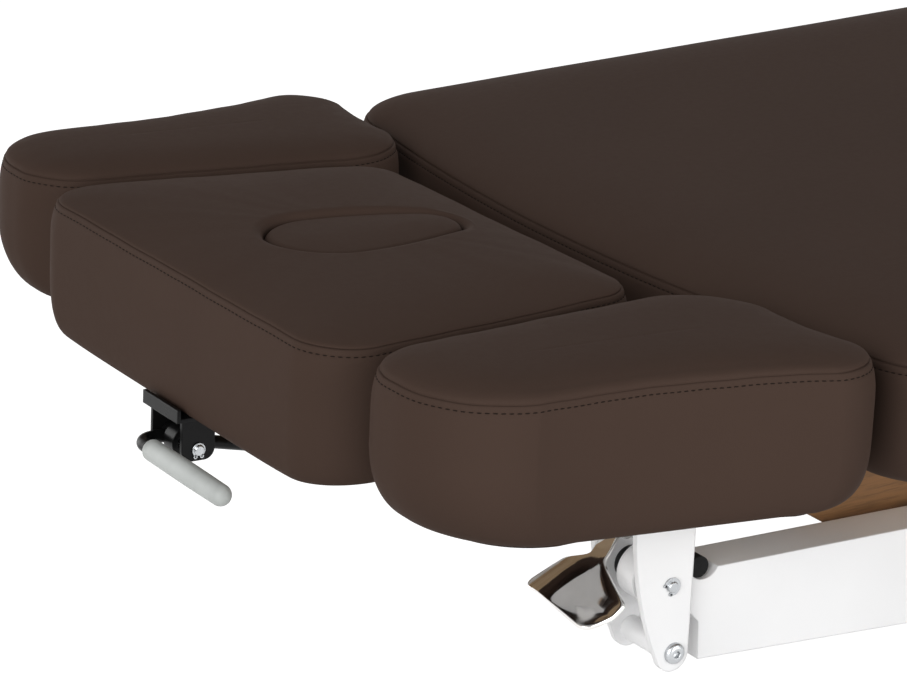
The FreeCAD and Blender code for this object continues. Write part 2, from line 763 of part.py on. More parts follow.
# Two plates, a base plate, a tilt pin with clips, a spacer and its bolt.
def armrest_fork():
    base = block("fork_base_plate", ("-pin_forward - fork_base_front", "fork_base_back - pin_forward"),
                 ("-fork_y - fork_base_wide / 2", "-fork_y + fork_base_wide / 2"),
                 ("fork_top", "-armrest_thick"))
    keep_sides("armrest_bracket_base", on_head(group("armrest_base", base)))
    corners = [
        ("-pin_forward - fork_front", "fork_top"),
        ("bolt_x - bolt_end_round", "bolt_z - bolt_end_low"),
        ("fork_back - pin_forward", "bolt_z"),
        ("fork_back - pin_forward", "fork_top"),
    ]
    bends = {
        0: ("-pin_forward - fork_front + fork_sweep", "pin_z - fork_sweep"),
        1: ("bolt_x", "bolt_z - bolt_end_round"),
    }
    holes = [("-pin_forward", "pin_z", "fork_pin_radius"), ("bolt_x", "bolt_z", "bolt_radius")]
    paddle_hole = ("paddle_pin_x", "paddle_pin_z", "paddle_pin_radius")
    outer = plate("outer_fork_plate", ("-fork_y - fork_out", "-fork_y - fork_in"), corners, holes, bends)
    inner = plate("inner_fork_plate", ("-fork_y + fork_in", "-fork_y + fork_out"), corners,
                  holes + [paddle_hole], bends)
    keep_sides("fork_plates", on_head(group("fork_pair", outer, inner)))
    span = ("-fork_y - fork_out - clip_thick * 2", "-fork_y + fork_out + clip_thick * 2")
    shaft = rod("tilt_shaft", "fork_pin_radius", "y", span, ("-pin_forward", "pin_z"))
    near = rod("near_clip", "clip_radius", "y",
               ("-fork_y - fork_out - clip_thick", "-fork_y - fork_out"), ("-pin_forward", "pin_z"))
    far = rod("far_clip", "clip_radius", "y",
              ("-fork_y + fork_out", "-fork_y + fork_out + clip_thick"), ("-pin_forward", "pin_z"))
    paddle_shaft = rod("paddle_shaft", "paddle_pin_radius", "y", ("-fork_y - fork_in", "-fork_y + fork_out"),
                       ("paddle_pin_x", "paddle_pin_z"))
    keep_sides("fork_pins", on_head(group("fork_pins", fuse("tilt_pin", shaft, near, far), paddle_shaft)))
    tube = rod("spacer_tube", "spacer_radius", "y", ("-fork_y - fork_in", "-fork_y + fork_in"),
               ("bolt_x", "bolt_z"))
    bore = rod("spacer_bore", "bolt_radius", "y", ("-fork_y - fork_in", "-fork_y + fork_in"),
               ("bolt_x", "bolt_z"))
    keep_sides("fork_spacer", on_head(cut("fork_spacer", tube, bore)))
    shank = rod("bolt_shank", "bolt_radius", "y", ("-fork_y - fork_out", "-fork_y + fork_out"),
                ("bolt_x", "bolt_z"))
    head = rod("bolt_head", "bolt_head_radius", "y",
               ("-fork_y - fork_out - bolt_head_high", "-fork_y - fork_out"), ("bolt_x", "bolt_z"))
    nut = rod("bolt_nut", "bolt_head_radius", "y",
              ("-fork_y + fork_out", "-fork_y + fork_out + bolt_head_high"), ("bolt_x", "bolt_z"))
    socket = doc.addObject("Part::Prism", "bolt_socket")
    socket.Polygon = 6
    bind(socket, "Circumradius", "bolt_socket")
    bind(socket, "Height", "bolt_socket_deep")
    socket.Placement = Placement(Vector(), turns["y"])
    bind(socket, "Placement.Base.x", "bolt_x")
    bind(socket, "Placement.Base.y", "-fork_y - fork_out - bolt_head_high")
    bind(socket, "Placement.Base.z", "bolt_z")
    keep_sides("fork_bolt", on_head(cut("fork_bolt", fuse("bolt_solid", shank, head, nut), socket)))


# A stainless paddle with a neck up to the hub that it swings on, between the fork plates.
def release_paddle():
    near = "-fork_y - fork_out - paddle_outset"
    neck_y = ("-fork_y + fork_in - side_gap - paddle_neck_wide", "-fork_y + fork_in - side_gap")
    blade = block("paddle_blade", ("-paddle_long", "0"), (near, f"{near} + paddle_wide"),
                  ("-paddle_thick", "0"))
    doc.recompute()
    rounded = doc.addObject("Part::Fillet", "paddle_rounded")
    rounded.Base = blade
    upright = [i for i, edge in enumerate(blade.Shape.Edges, 1) if abs(edge.tangentAt(0).z) > 0.9]
    rounded.Edges = [(i, num("paddle_corner"), num("paddle_corner")) for i in upright]
    back = "paddle_pin_x - paddle_forward"
    low = "paddle_pin_z - paddle_drop"
    sloped = place(group("paddle_sloped", rounded), back, low, "-paddle_slope")
    neck = plate("paddle_neck", neck_y, [
        (f"{back} - paddle_neck_lap", f"{low} - paddle_neck_lap * tan(paddle_slope)"),
        (back, low),
        ("paddle_pin_x - paddle_hub_radius", "paddle_pin_z"),
        ("paddle_pin_x", "paddle_pin_z - paddle_hub_radius"),
        (f"{back} + paddle_thick", f"{low} - paddle_thick * 2"),
        (f"{back} - paddle_neck_lap", f"{low} - paddle_neck_lap * tan(paddle_slope) - paddle_thick")])
    hub = rod("paddle_hub", "paddle_hub_radius", "y", neck_y, ("paddle_pin_x", "paddle_pin_z"))
    bore = rod("paddle_bore", "paddle_pin_radius + run_gap", "y", neck_y, ("paddle_pin_x", "paddle_pin_z"))
    joined = fuse("paddle_joined", sloped, neck, hub)
    keep_sides("armrest_paddle", on_head(cut("armrest_paddle", joined, bore)))


# The beams: solid nose with a pivot lug, hollow behind it, tapered towards the foot.
def side_beam():
    y = ("-beam_out", "-beam_in")
    top = (("nose_x", "tilt_z + beam_nose_top"), ("level_x", "frame_top"))
    low = (("nose_x + beam_chin_back", "tilt_z - beam_chin"), ("level_x", "beam_low"))
    taper = (("beam_end - beam_taper", "beam_low"), ("beam_end", "frame_top - beam_foot_deep"))
    body = plate("beam_body", y, [
        top[0], top[1], ("beam_end", "frame_top"), taper[1], taper[0], low[1], low[0],
        ("nose_x + beam_chin_back", "tilt_z - beam_nose_low - beam_nose_cut"),
        ("nose_x", "tilt_z - beam_nose_low")])
    start = "nose_x + beam_solid"
    hollow = plate("beam_hollow", ("-beam_out + beam_wall", "-beam_in - beam_wall"), [
        (start, f"{on_line(top[0], top[1], start)} - beam_wall"),
        ("level_x", "frame_top - beam_wall"),
        ("beam_end", "frame_top - beam_wall"),
        ("beam_end", "frame_top - beam_foot_deep + beam_wall"),
        ("beam_end - beam_taper", "beam_low + beam_wall"),
        ("level_x", "beam_low + beam_wall"),
        (start, f"{on_line(low[0], low[1], start)} + beam_wall")])
    notch = rod("beam_notch", "notch_radius", "y", y, ("notch_x", "notch_z"))
    lug_y = ("-fork_y - beam_lug_wide / 2", "-fork_y + beam_lug_wide / 2")
    eye = rod("beam_lug_eye", "beam_lug_radius", "y", lug_y, ("tilt_x", "tilt_z"))
    web = block("beam_lug_web", ("tilt_x", "nose_x"), lug_y,
                ("tilt_z - beam_lug_radius", "tilt_z + beam_nose_top"))
    bore = rod("beam_lug_bore", "bush_radius", "y", lug_y, ("tilt_x", "tilt_z"))
    shell = cut("beam_shell", body, hollow, notch)
    solid = fuse("beam_solid_parts", shell, eye, web)
    right = keep("right_side_beam", cut("right_side_beam", solid, bore))
    keep("left_side_beam", mirror("left_side_beam", right))
    cap = block("beam_cap", ("beam_end", "beam_end + cap_thick"), y,
                ("frame_top - beam_foot_deep", "frame_top"))
    keep("beam_end_caps", both_sides("beam_end_caps", cap))
    sleeve = rod("bush_sleeve", "bush_radius", "y", lug_y, ("tilt_x", "tilt_z"))
    near = rod("bush_near_collar", "collar_radius", "y",
               ("-fork_y - fork_in + side_gap", "-fork_y - beam_lug_wide / 2"), ("tilt_x", "tilt_z"))
    far = rod("bush_far_collar", "collar_radius", "y",
              ("-fork_y + beam_lug_wide / 2", "-fork_y + fork_in - side_gap"), ("tilt_x", "tilt_z"))
    hole = rod("bush_bore", "fork_pin_radius + run_gap", "y", ("-fork_y - fork_in", "-fork_y + fork_in"),
               ("tilt_x", "tilt_z"))
    bush = cut("bush", fuse("bush_solid", sleeve, near, far), hole)
    keep("armrest_bushes", both_sides("armrest_bushes", bush))
    buffer = rod("buffer", "buffer_radius", "y", y,
                 ("notch_x - buffer_slip * cos(buffer_turn)", "notch_z - buffer_slip * sin(buffer_turn)"))
    keep("armrest_buffers", both_sides("armrest_buffers", buffer))


# Wooden rails between the frame and the main board, bevelled at the head end.
def wood_rails():
    head = "main_head + rail_head_set"
    rail = plate("rail", ("-rail_out", "-rail_in"), [
        (head, "main_under"),
        (head, "frame_top + rail_bevel_high"),
        (f"{head} + rail_bevel_long", "frame_top"),
        ("foot_end_x - rail_foot_set", "frame_top"),
        ("foot_end_x - rail_foot_set", "main_under")])
    keep("wood_rails", both_sides("wood_rails", rail))


def frame_tubes():
    tubes = []
    spots = {"head": "head_tube_x", "front": "front_top", "rear": "rear_top", "foot": "foot_tube_x"}
    for name, x in spots.items():
        tubes.append(square_tube(f"{name}_cross_tube", (f"{x} - tube_size / 2", f"{x} + tube_size / 2"),
                                 ("-beam_in", "beam_in"), ("tube_under", "frame_top"), "y"))
    keep("frame_cross_tubes", group("frame_cross_tubes", *tubes))


# Ears and pins of the four lift pivots at one level. The ears hang from, or stand on, a tube face.
def pivot_set(prefix, centres, height, face):
    ears = []
    pins = []
    far = f"{height} + ear_radius" if face == "base_top" else f"{height} - ear_radius"
    for number, x in enumerate(centres):
        for side, low in enumerate(("ear_in", "ear_out")):
            ears.append(plate(f"{prefix}_ear_{number}_{side}", (f"-({low} + ear_thick)", f"-({low})"), [
                (f"{x} - ear_radius", face),
                (f"{x} - ear_radius", far, "ear_radius - round_short"),
                (f"{x} + ear_radius", far, "ear_radius - round_short"),
                (f"{x} + ear_radius", face)],
                [(x, height, "pivot_radius")]))
        shank = rod(f"{prefix}_shank_{number}", "pivot_radius", "y",
                    ("-(ear_out + ear_thick)", "-ear_in"), (x, height))
        near = rod(f"{prefix}_head_{number}", "pin_head_radius", "y",
                   ("-(ear_out + ear_thick + pin_head_thick)", "-(ear_out + ear_thick)"), (x, height))
        far_head = rod(f"{prefix}_far_{number}", "pin_head_radius", "y",
                       ("-ear_in", "-ear_in + pin_head_thick"), (x, height))
        pins.append(fuse(f"{prefix}_pin_{number}", shank, near, far_head))
    keep(f"{prefix}_pivot_ears", both_sides(f"{prefix}_pivot_ears", *ears))
    keep(f"{prefix}_pivot_pins", both_sides(f"{prefix}_pivot_pins", *pins))


# A pair of flat lift arms, drawn along -X from the base pivot and then raised to the lift angle.
def lift_arms(prefix, pivot, tube_along):
    y = ("-arm_y - arm_thick / 2", "-arm_y + arm_thick / 2")
    bar = block(f"{prefix}_bar", ("-lift_radius", "0"), y, ("-arm_deep / 2", "arm_deep / 2"))
    low_end = rod(f"{prefix}_low_end", "arm_deep / 2", "y", y, ("0", "0"))
    top_end = rod(f"{prefix}_top_end", "arm_deep / 2", "y", y, ("-lift_radius", "0"))
    low_bore = rod(f"{prefix}_low_bore", "pivot_radius + run_gap", "y", y, ("0", "0"))
    top_bore = rod(f"{prefix}_top_bore", "pivot_radius + run_gap", "y", y, ("-lift_radius", "0"))
    arm = cut(f"{prefix}_arm", fuse(f"{prefix}_arm_solid", bar, low_end, top_end), low_bore, top_bore)
    pair = both_sides(f"{prefix}_lift_arms", arm)
    keep(f"{prefix}_lift_arms", place(pair, pivot, "base_pivot_high", "lift_angle"))
    span = ("-arm_y + arm_thick / 2", "arm_y - arm_thick / 2")
    tube = rod(f"{prefix}_tube", "arm_tube_radius", "y", span, (f"-{tube_along}", "0"))
    hollow = rod(f"{prefix}_tube_bore", "arm_tube_radius - tube_wall", "y", span, (f"-{tube_along}", "0"))
    return cut(f"{prefix}_tube_cut", tube, hollow), hollow


def lift():
    pivot_set("frame", ("front_top", "rear_top"), "top_pivot_high", "tube_under")
    pivot_set("base", ("front_pivot", "rear_pivot"), "base_pivot_high", "base_top")
    rear_tube, _ = lift_arms("rear", "rear_pivot", "rear_tube_along")
    rear = keep("rear_arm_tube", group("rear_arm_tube", rear_tube))
    place(rear, "rear_pivot", "base_pivot_high", "lift_angle")
    front_tube, hollow = lift_arms("front", "front_pivot", "arm_tube_along")
    lug = plate("arm_lug", ("-lug_out", "-lug_in"), [
        ("-arm_tube_along + lug_foot", "lug_foot_up"),
        ("lug_x + lug_half", "lug_z"),
        ("lug_x + lug_half", "lug_z + lug_end", "lug_round"),
        ("lug_x - lug_half", "lug_z + lug_end", "lug_round"),
        ("lug_x - lug_half", "lug_z - lug_end"),
        ("-arm_tube_along - lug_foot", "lug_foot_up")],
        [("lug_x", "lug_z", "actuator_pin_radius")])
    lugs = cut("arm_lugs", both_sides("arm_lug_pair", lug), hollow)
    front = keep("front_arm_tube", fuse("front_arm_tube", front_tube, lugs))
    place(front, "front_pivot", "base_pivot_high", "lift_angle")
    shaft = rod("arm_pin_shaft", "actuator_pin_radius", "y", ("-lug_out - pin_end", "lug_out + pin_end"),
                ("lug_x", "lug_z"))
    pin = keep("actuator_arm_pin", group("actuator_arm_pin", shaft))
    place(pin, "front_pivot", "base_pivot_high", "lift_angle")


# The linear actuator, drawn along +X from its base pin and then raised towards the arm's lug.
def actuator():
    angle = "actuator_dip - atan2(actuator_climb; actuator_run) / (1 deg)"
    reach = "actuator_length + actuator_over"

    def aim(thing):
        return place(thing, "actuator_x", "actuator_pin_high", angle)
    eye_y = ("-actuator_eye_wide / 2", "actuator_eye_wide / 2")
    eye = rod("housing_eye", "housing_eye_radius", "y", eye_y, ("0", "0"))
    tongue = block("housing_tongue", ("0", "gearbox_start"), eye_y,
                   ("-housing_eye_radius", "housing_eye_radius"))
    gearbox = block("housing_gearbox", ("gearbox_start", "gearbox_end"),
                    ("-gearbox_half", "motor_offset + gearbox_half"), ("-gearbox_half", "gearbox_half"))
    tube = rod("housing_tube", "outer_tube_radius", "x",
               ("gearbox_end", "gearbox_end + outer_tube_long"), ("0", "0"))
    bore = rod("housing_bore", "rod_radius + slide_gap", "x",
               ("gearbox_end + outer_tube_floor", "gearbox_end + outer_tube_long"), ("0", "0"))
    pin_hole = rod("housing_pin_hole", "actuator_pin_radius + run_gap", "y", eye_y, ("0", "0"))
    solid = fuse("housing_solid", eye, tongue, gearbox, tube)
    aim(keep("actuator_housing", cut("actuator_housing", solid, bore, pin_hole)))
    motor_end = "gearbox_end + motor_long"
    motor = rod("motor_can", "motor_radius", "x", ("gearbox_end", motor_end), ("motor_offset", "0"))
    nose = rod("motor_cap", "motor_radius - motor_cap_step", "x",
               (motor_end, f"{motor_end} + motor_cap_long"), ("motor_offset", "0"))
    aim(keep("actuator_motor", fuse("actuator_motor", motor, nose)))
    bar = rod("rod_bar", "rod_radius", "x", ("rod_start", reach), ("0", "0"))
    rod_eye = rod("rod_eye", "actuator_eye_radius", "y", eye_y, (reach, "0"))
    hole = rod("rod_hole", "actuator_eye_hole", "y", eye_y, (reach, "0"))
    aim(keep("actuator_rod", cut("actuator_rod", fuse("rod_solid", bar, rod_eye), hole)))
    lug = plate("base_lug", ("-lug_out", "-lug_in"), [
        ("actuator_x - lug_half", "base_top"),
        ("actuator_x - lug_half", "actuator_pin_high + lug_end", "lug_round"),
        ("actuator_x + lug_half", "actuator_pin_high + lug_end", "lug_round"),
        ("actuator_x + lug_half", "base_top")],
        [("actuator_x", "actuator_pin_high", "actuator_pin_radius")])
    keep("actuator_base_lugs", both_sides("actuator_base_lugs", lug))
    shaft = rod("base_pin_shaft", "actuator_pin_radius", "y", ("-lug_out - pin_end", "lug_out + pin_end"),
                ("actuator_x", "actuator_pin_high"))
    keep("actuator_base_pin", shaft)


def base():
    inner = "base_half - tube_size / 2"
    outer = "base_half + tube_size / 2"
    side = square_tube("base_side_tube", ("base_head", "base_foot"), (f"-({outer})", f"-({inner})"),
                       ("base_low", "base_top"), "x")
    keep("base_side_tubes", both_sides("base_side_tubes", side))
    crosses = []
    for name, x in (("head", "actuator_x"), ("front", "front_pivot"), ("rear", "rear_pivot")):
        crosses.append(square_tube(f"base_{name}_tube", (f"{x} - tube_size / 2", f"{x} + tube_size / 2"),
                                   (f"-({inner})", inner), ("base_low", "base_top"), "y"))
    keep("base_cross_tubes", group("base_cross_tubes", *crosses))
    caps = [block("head_cap", ("base_head - cap_thick", "base_head"), (f"-({outer})", f"-({inner})"),
                  ("base_low", "base_top")),
            block("foot_cap", ("base_foot", "base_foot + cap_thick"), (f"-({outer})", f"-({inner})"),
                  ("base_low", "base_top"))]
    keep("base_end_caps", both_sides("base_end_caps", *caps))
    feet = []
    for name, x in (("head", "base_head + foot_set"), ("foot", "base_foot - foot_set")):
        pad = rod(f"{name}_foot_pad", "foot_radius", "z", ("0", "foot_high"), (x, "-base_half"))
        stem = rod(f"{name}_foot_stem", "stem_radius", "z", ("foot_high", "base_low"), (x, "-base_half"))
        feet.append(fuse(f"{name}_foot", pad, stem))
    keep("levelling_feet", both_sides("levelling_feet", *feet))


# The headrest's hinge: supports from the head tube, arms under the headrest board, one pin.
def headrest_hinge():
    front = "head_tube_x - tube_size / 2"
    nearly = "hinge_eye_radius - round_short"
    support = plate("hinge_support", ("-(hinge_support_in + hinge_support_thick)", "-hinge_support_in"), [
        (front, "frame_top"), (front, "tube_under"),
        ("hinge_x - hinge_eye_radius", "hinge_z - hinge_eye_radius", nearly),
        ("hinge_x - hinge_eye_radius", "hinge_z + hinge_eye_radius", nearly),
        ("hinge_x + hinge_eye_radius", "hinge_z + hinge_eye_radius", "hinge_eye_radius")],
        [("hinge_x", "hinge_z", "hinge_radius + run_gap")])
    keep("headrest_supports", both_sides("headrest_supports", support))
    arm = plate("hinge_arm", ("-(hinge_arm_in + hinge_arm_thick)", "-hinge_arm_in"), [
        ("-board_inset - hinge_arm_back", "-headrest_thick"),
        ("hinge_local_x + hinge_eye_radius", "hinge_local_z + hinge_eye_radius", "hinge_eye_radius"),
        ("hinge_local_x + hinge_eye_radius", "hinge_local_z - hinge_eye_radius", nearly),
        ("hinge_local_x - hinge_eye_radius", "hinge_local_z - hinge_eye_radius", nearly),
        ("-board_inset - hinge_arm_long", "-headrest_thick - hinge_arm_deep", "hinge_arm_round"),
        ("-board_inset - hinge_arm_long", "-headrest_thick")],
        [("hinge_local_x", "hinge_local_z", "hinge_radius")])
    on_head(keep("headrest_hinge_arms", both_sides("headrest_hinge_arms", arm)))
    shaft = rod("hinge_shaft", "hinge_radius", "y", ("-hinge_half", "hinge_half"),
                ("hinge_local_x", "hinge_local_z"))
    on_head(keep("headrest_hinge_pin", group("headrest_hinge_pin", shaft)))


# The bracket under the headrest's front edge, its pin, and the lever with its grip.
def release_lever():
    front = "-headrest_length - cheek_thick"
    wide = ("-bracket_wide / 2", "bracket_wide / 2")
    base_plate = block("bracket_plate", (front, f"{front} + bracket_long"), wide,
                       ("bracket_top - cheek_thick", "bracket_top"))
    lip = block("bracket_lip", (front, "-headrest_length"), wide,
                ("bracket_top - cheek_thick", "bracket_top - cheek_thick + bracket_lip"))
    cheek = plate("bracket_cheek", ("-(cheek_in + cheek_thick)", "-cheek_in"), [
        ("lever_x - cheek_long / 2", "bracket_top - cheek_thick"),
        ("lever_x - cheek_long / 2", "lever_z - cheek_below", "cheek_below"),
        ("lever_x + cheek_long / 2", "lever_z - cheek_below", "cheek_below"),
        ("lever_x + cheek_long / 2", "bracket_top - cheek_thick")],
        [("lever_x", "lever_z", "lever_pin_radius")])
    other = mirror("bracket_other_cheek", cheek)
    on_head(keep("lever_bracket", fuse("lever_bracket", base_plate, lip, cheek, other)))
    shaft = rod("bracket_shaft", "lever_pin_radius", "y",
                ("-cheek_out - clip_thick * 2", "cheek_out + clip_thick * 2"), ("lever_x", "lever_z"))
    near = rod("bracket_near_clip", "clip_radius", "y", ("-cheek_out - clip_thick", "-cheek_out"),
               ("lever_x", "lever_z"))
    far = rod("bracket_far_clip", "clip_radius", "y", ("cheek_out", "cheek_out + clip_thick"),
              ("lever_x", "lever_z"))
    on_head(keep("bracket_pin", fuse("bracket_pin", shaft, near, far)))
    under = "bracket_top - cheek_thick"
    screws = []
    for row in ("screw_near", "screw_far"):
        for side, y in (("right", "-screw_out"), ("left", "screw_out")):
            screws.append(rod(f"bracket_{row}_{side}", "screw_radius", "z", (f"{under} - screw_high", under),
                              (f"lever_x + cheek_long / 2 + {row}", y)))
    on_head(keep("bracket_screws", group("bracket_screws", *screws)))
    hub_y = ("lever_y - lever_hub_wide / 2", "lever_y + lever_hub_wide / 2")
    hub = rod("lever_hub", "lever_hub_radius", "y", hub_y, ("lever_x", "lever_z"))
    bore = rod("lever_bore", "lever_pin_radius + run_gap", "y", hub_y, ("lever_x", "lever_z"))
    bend_x = "handle_x + lever_bend"
    bend_y = "lever_y - lever_bend"
    arm = rod("lever_arm", "lever_rod_radius", "x", (bend_x, "lever_x"), ("lever_y", "lever_z"))
    bend = doc.addObject("Part::Torus", "lever_bend")
    bind(bend, "Radius1", "lever_bend")
    bind(bend, "Radius2", "lever_rod_radius")
    bend.Angle3 = 90
    bend.Placement = Placement(Vector(), Rotation(Vector(0, 0, 1), 90))
    for axis, text in (("x", bend_x), ("y", bend_y), ("z", "lever_z")):
        bind(bend, f"Placement.Base.{axis}", text)
    handle = rod("lever_handle", "lever_rod_radius", "y", ("grip_end + grip_end_wall", bend_y),
                 ("handle_x", "lever_z"))
    lever = cut("release_lever", fuse("lever_solid", hub, arm, bend, handle), bore)
    on_head(keep("release_lever", lever))
    cover = rod("grip_cover", "grip_radius", "y", ("grip_end", "-grip_start"), ("handle_x", "lever_z"))
    doc.recompute()
    soft = doc.addObject("Part::Fillet", "grip_rounded")
    soft.Base = cover
    rims = [i for i, edge in enumerate(cover.Shape.Edges, 1) if edge.Closed and len(edge.Vertexes) == 1]
    soft.Edges = [(i, num("grip_round"), num("grip_round")) for i in rims]
    hollow = rod("grip_hollow", "lever_rod_radius", "y", ("grip_end + grip_end_wall", "-grip_start"),
                 ("handle_x", "lever_z"))
    on_head(keep("lever_grip", cut("lever_grip", soft, hollow)))


# The gas spring, drawn along -X from its frame pin and then raised towards the bracket pin.
def gas_spring():
    def aim(thing):
        return place(thing, "spring_x", "spring_z", "atan2(spring_climb; spring_run)")
    eye_y = ("-spring_eye_wide / 2", "spring_eye_wide / 2")
    end_y = ("-spring_end_wide / 2", "spring_end_wide / 2")
    lug = plate("spring_lug", ("-spring_lug_out", "-spring_lug_in"), [
        ("spring_x - lug_half", "tube_under"),
        ("spring_x - lug_half", "spring_z - lug_end", "lug_round"),
        ("spring_x + lug_half", "spring_z - lug_end", "lug_round"),
        ("spring_x + lug_half", "tube_under")],
        [("spring_x", "spring_z", "spring_pin_radius")])
    keep("spring_lugs", both_sides("spring_lugs", lug))
    shaft = rod("spring_shaft", "spring_pin_radius", "y",
                ("-spring_lug_out - pin_end", "spring_lug_out + pin_end"), ("spring_x", "spring_z"))
    keep("spring_pin", shaft)
    eye = rod("cylinder_eye", "spring_eye_radius", "y", eye_y, ("0", "0"))
    can = rod("cylinder_can", "cylinder_radius", "x", ("-cylinder_long", "-cylinder_start"), ("0", "0"))
    pin_hole = rod("cylinder_pin_hole", "spring_pin_radius + run_gap", "y", eye_y, ("0", "0"))
    bore = rod("cylinder_bore", "spring_rod_radius + slide_gap", "x",
               ("-cylinder_long", "-cylinder_floor"), ("0", "0"))
    solid = fuse("cylinder_solid", eye, can)
    aim(keep("gas_spring_cylinder", cut("gas_spring_cylinder", solid, pin_hole, bore)))
    bar = rod("spring_bar", "spring_rod_radius", "x", ("-spring_length", "-spring_rod_in"), ("0", "0"))
    end = rod("spring_end", "spring_eye_radius", "y", end_y, ("-spring_length", "0"))
    hole = rod("spring_end_hole", "spring_hole", "y", end_y, ("-spring_length", "0"))
    aim(keep("gas_spring_rod", cut("gas_spring_rod", fuse("spring_rod_solid", bar, end), hole)))


# The control box under the foot tube, with the mains inlet in its foot face.
def control_box():
    case = block("box_case", ("box_x", "box_end"), ("-box_wide / 2", "box_wide / 2"),
                 ("tube_under - box_high", "tube_under"))
    doc.recompute()
    soft = doc.addObject("Part::Fillet", "box_rounded")
    soft.Base = case
    upright = [i for i, edge in enumerate(case.Shape.Edges, 1) if abs(edge.tangentAt(0).z) > 0.9]
    soft.Edges = [(i, num("box_round"), num("box_round")) for i in upright]
    y = ("-inlet_wide / 2", "inlet_wide / 2")
    z = ("box_middle - inlet_high / 2", "box_middle + inlet_high / 2")
    seat = block("inlet_seat", ("box_end - inlet_deep", "box_end"), y, z)
    keep("control_box", cut("control_box", soft, seat))
    body = block("inlet_body", ("box_end - inlet_deep", "box_end"), y, z)
    flange = block("inlet_flange", ("box_end", "box_end + inlet_flange"),
                   (f"{y[0]} - inlet_flange_side", f"{y[1]} + inlet_flange_side"),
                   (f"{z[0]} - inlet_flange_edge", f"{z[1]} + inlet_flange_edge"))
    socket = block("inlet_socket", ("box_end - inlet_deep + inlet_wall * 2", "box_end + inlet_flange"),
                   (f"{y[0]} + inlet_wall", f"{y[1]} - inlet_wall"),
                   (f"{z[0]} + inlet_wall", f"{z[1]} - inlet_wall"))
    keep("control_box_inlet", cut("control_box_inlet", fuse("inlet_solid", body, flange), socket))


base()
lift()
actuator()
frame_tubes()
side_beam()
wood_rails()
main_section()
headrest_section()
headrest_hinge()
release_lever()
gas_spring()
armrest_section()
armrest_fork()
release_paddle()
control_box()
doc.recompute()

for thing in doc.Objects:
    if "Invalid" in thing.State or "Error" in thing.State:
        raise RuntimeError(f"{thing.Name} did not build: {thing.State}")
for name, thing in nodes.items():
    if thing.Shape.isNull() or not thing.Shape.isValid() or not thing.Shape.Solids:
        raise RuntimeError(f"{name} has no valid solid")

os.makedirs("parts", exist_ok=True)
for name, thing in nodes.items():
    thing.Shape.exportStep(f"parts/{name}.step")
    print(name, len(thing.Shape.Solids), "solids", round(thing.Shape.Volume / 1000.0, 1), "cm3")
print(len(nodes), "sub-parts")
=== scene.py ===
import json
import math

import bmesh
import bpy
import numpy as np
from mathutils import Matrix, Vector


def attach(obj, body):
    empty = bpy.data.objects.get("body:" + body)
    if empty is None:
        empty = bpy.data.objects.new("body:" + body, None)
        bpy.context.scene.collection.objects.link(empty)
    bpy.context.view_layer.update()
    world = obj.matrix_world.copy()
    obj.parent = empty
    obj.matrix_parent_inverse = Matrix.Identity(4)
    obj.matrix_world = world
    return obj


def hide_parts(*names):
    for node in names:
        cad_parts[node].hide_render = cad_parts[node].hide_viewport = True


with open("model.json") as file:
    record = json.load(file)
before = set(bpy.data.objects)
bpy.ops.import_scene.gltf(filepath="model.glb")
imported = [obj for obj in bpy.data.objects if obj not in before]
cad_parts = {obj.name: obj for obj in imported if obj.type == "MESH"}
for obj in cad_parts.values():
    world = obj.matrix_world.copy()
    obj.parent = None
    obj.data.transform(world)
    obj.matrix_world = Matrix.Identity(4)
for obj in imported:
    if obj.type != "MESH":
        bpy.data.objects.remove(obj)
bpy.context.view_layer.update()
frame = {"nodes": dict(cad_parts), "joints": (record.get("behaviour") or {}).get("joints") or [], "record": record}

scene = bpy.context.scene
record = frame["record"]
joints = {joint["name"]: joint for joint in frame["joints"]}
finishes = {}
print("frame loaded:", len(frame["nodes"]), "nodes")

# The headrest, armrests and their fittings are drawn level and then sloped up towards the head.
plugAxis = joints["face_plug_lift"]["axis"]
headSection = {"backEdgeX": -0.636, "seamZ": 0.735, "slope": math.atan2(plugAxis[0], plugAxis[2])}


# turn about +Y by the slope, then move to the headrest's back edge
def ontoHead(points):
    c, s = math.cos(headSection["slope"]), math.sin(headSection["slope"])
    x, y, z = points[..., 0], points[..., 1], points[..., 2]
    return np.stack([headSection["backEdgeX"] + x * c + z * s, y,
                     headSection["seamZ"] - x * s + z * c], -1)


# evenly spaced angles round a circle
def roundAngles(count):
    return np.linspace(0, 2 * math.pi, count, endpoint=False)


# quads between neighbouring rows, where each row closes into a ring
def ringFaces(rows, cols, wrapRows=False):
    r = np.arange(rows if wrapRows else rows - 1)[:, None]
    c = np.arange(cols)[None, :]
    below, beside = (r + 1) % rows, (c + 1) % cols
    quads = np.stack([r * cols + c, r * cols + beside, below * cols + beside, below * cols + c], -1)
    return quads.reshape(-1, 4).tolist()


# fans that close the first and the last ring at a pole
def poleFaces(rows, cols):
    c = np.arange(cols)
    beside = (c + 1) % cols
    first, last = rows * cols, rows * cols + 1
    low = np.stack([np.full(cols, first), beside, c], -1)
    high = np.stack([np.full(cols, last), (rows - 1) * cols + c, (rows - 1) * cols + beside], -1)
    return low.tolist() + high.tolist()


def shadeSmooth(mesh):
    mesh.polygons.foreach_set("use_smooth", np.ones(len(mesh.polygons), bool))
    mesh.update()


def newMesh(name, points, faces):
    mesh = bpy.data.meshes.new(name)
    mesh.from_pydata(points.tolist(), [], faces)
    shadeSmooth(mesh)
    return mesh


# a closed mesh from rings (rows, cols, 3): poles at both ends, or a torus
def ringMesh(name, rings, torus=False):
    rows, cols = rings.shape[:2]
    points = rings.reshape(-1, 3)
    faces = ringFaces(rows, cols, torus)
    if not torus:
        points = np.concatenate([points, rings[0].mean(0)[None], rings[-1].mean(0)[None]])
        faces = faces + poleFaces(rows, cols)
    return newMesh(name, points, faces)


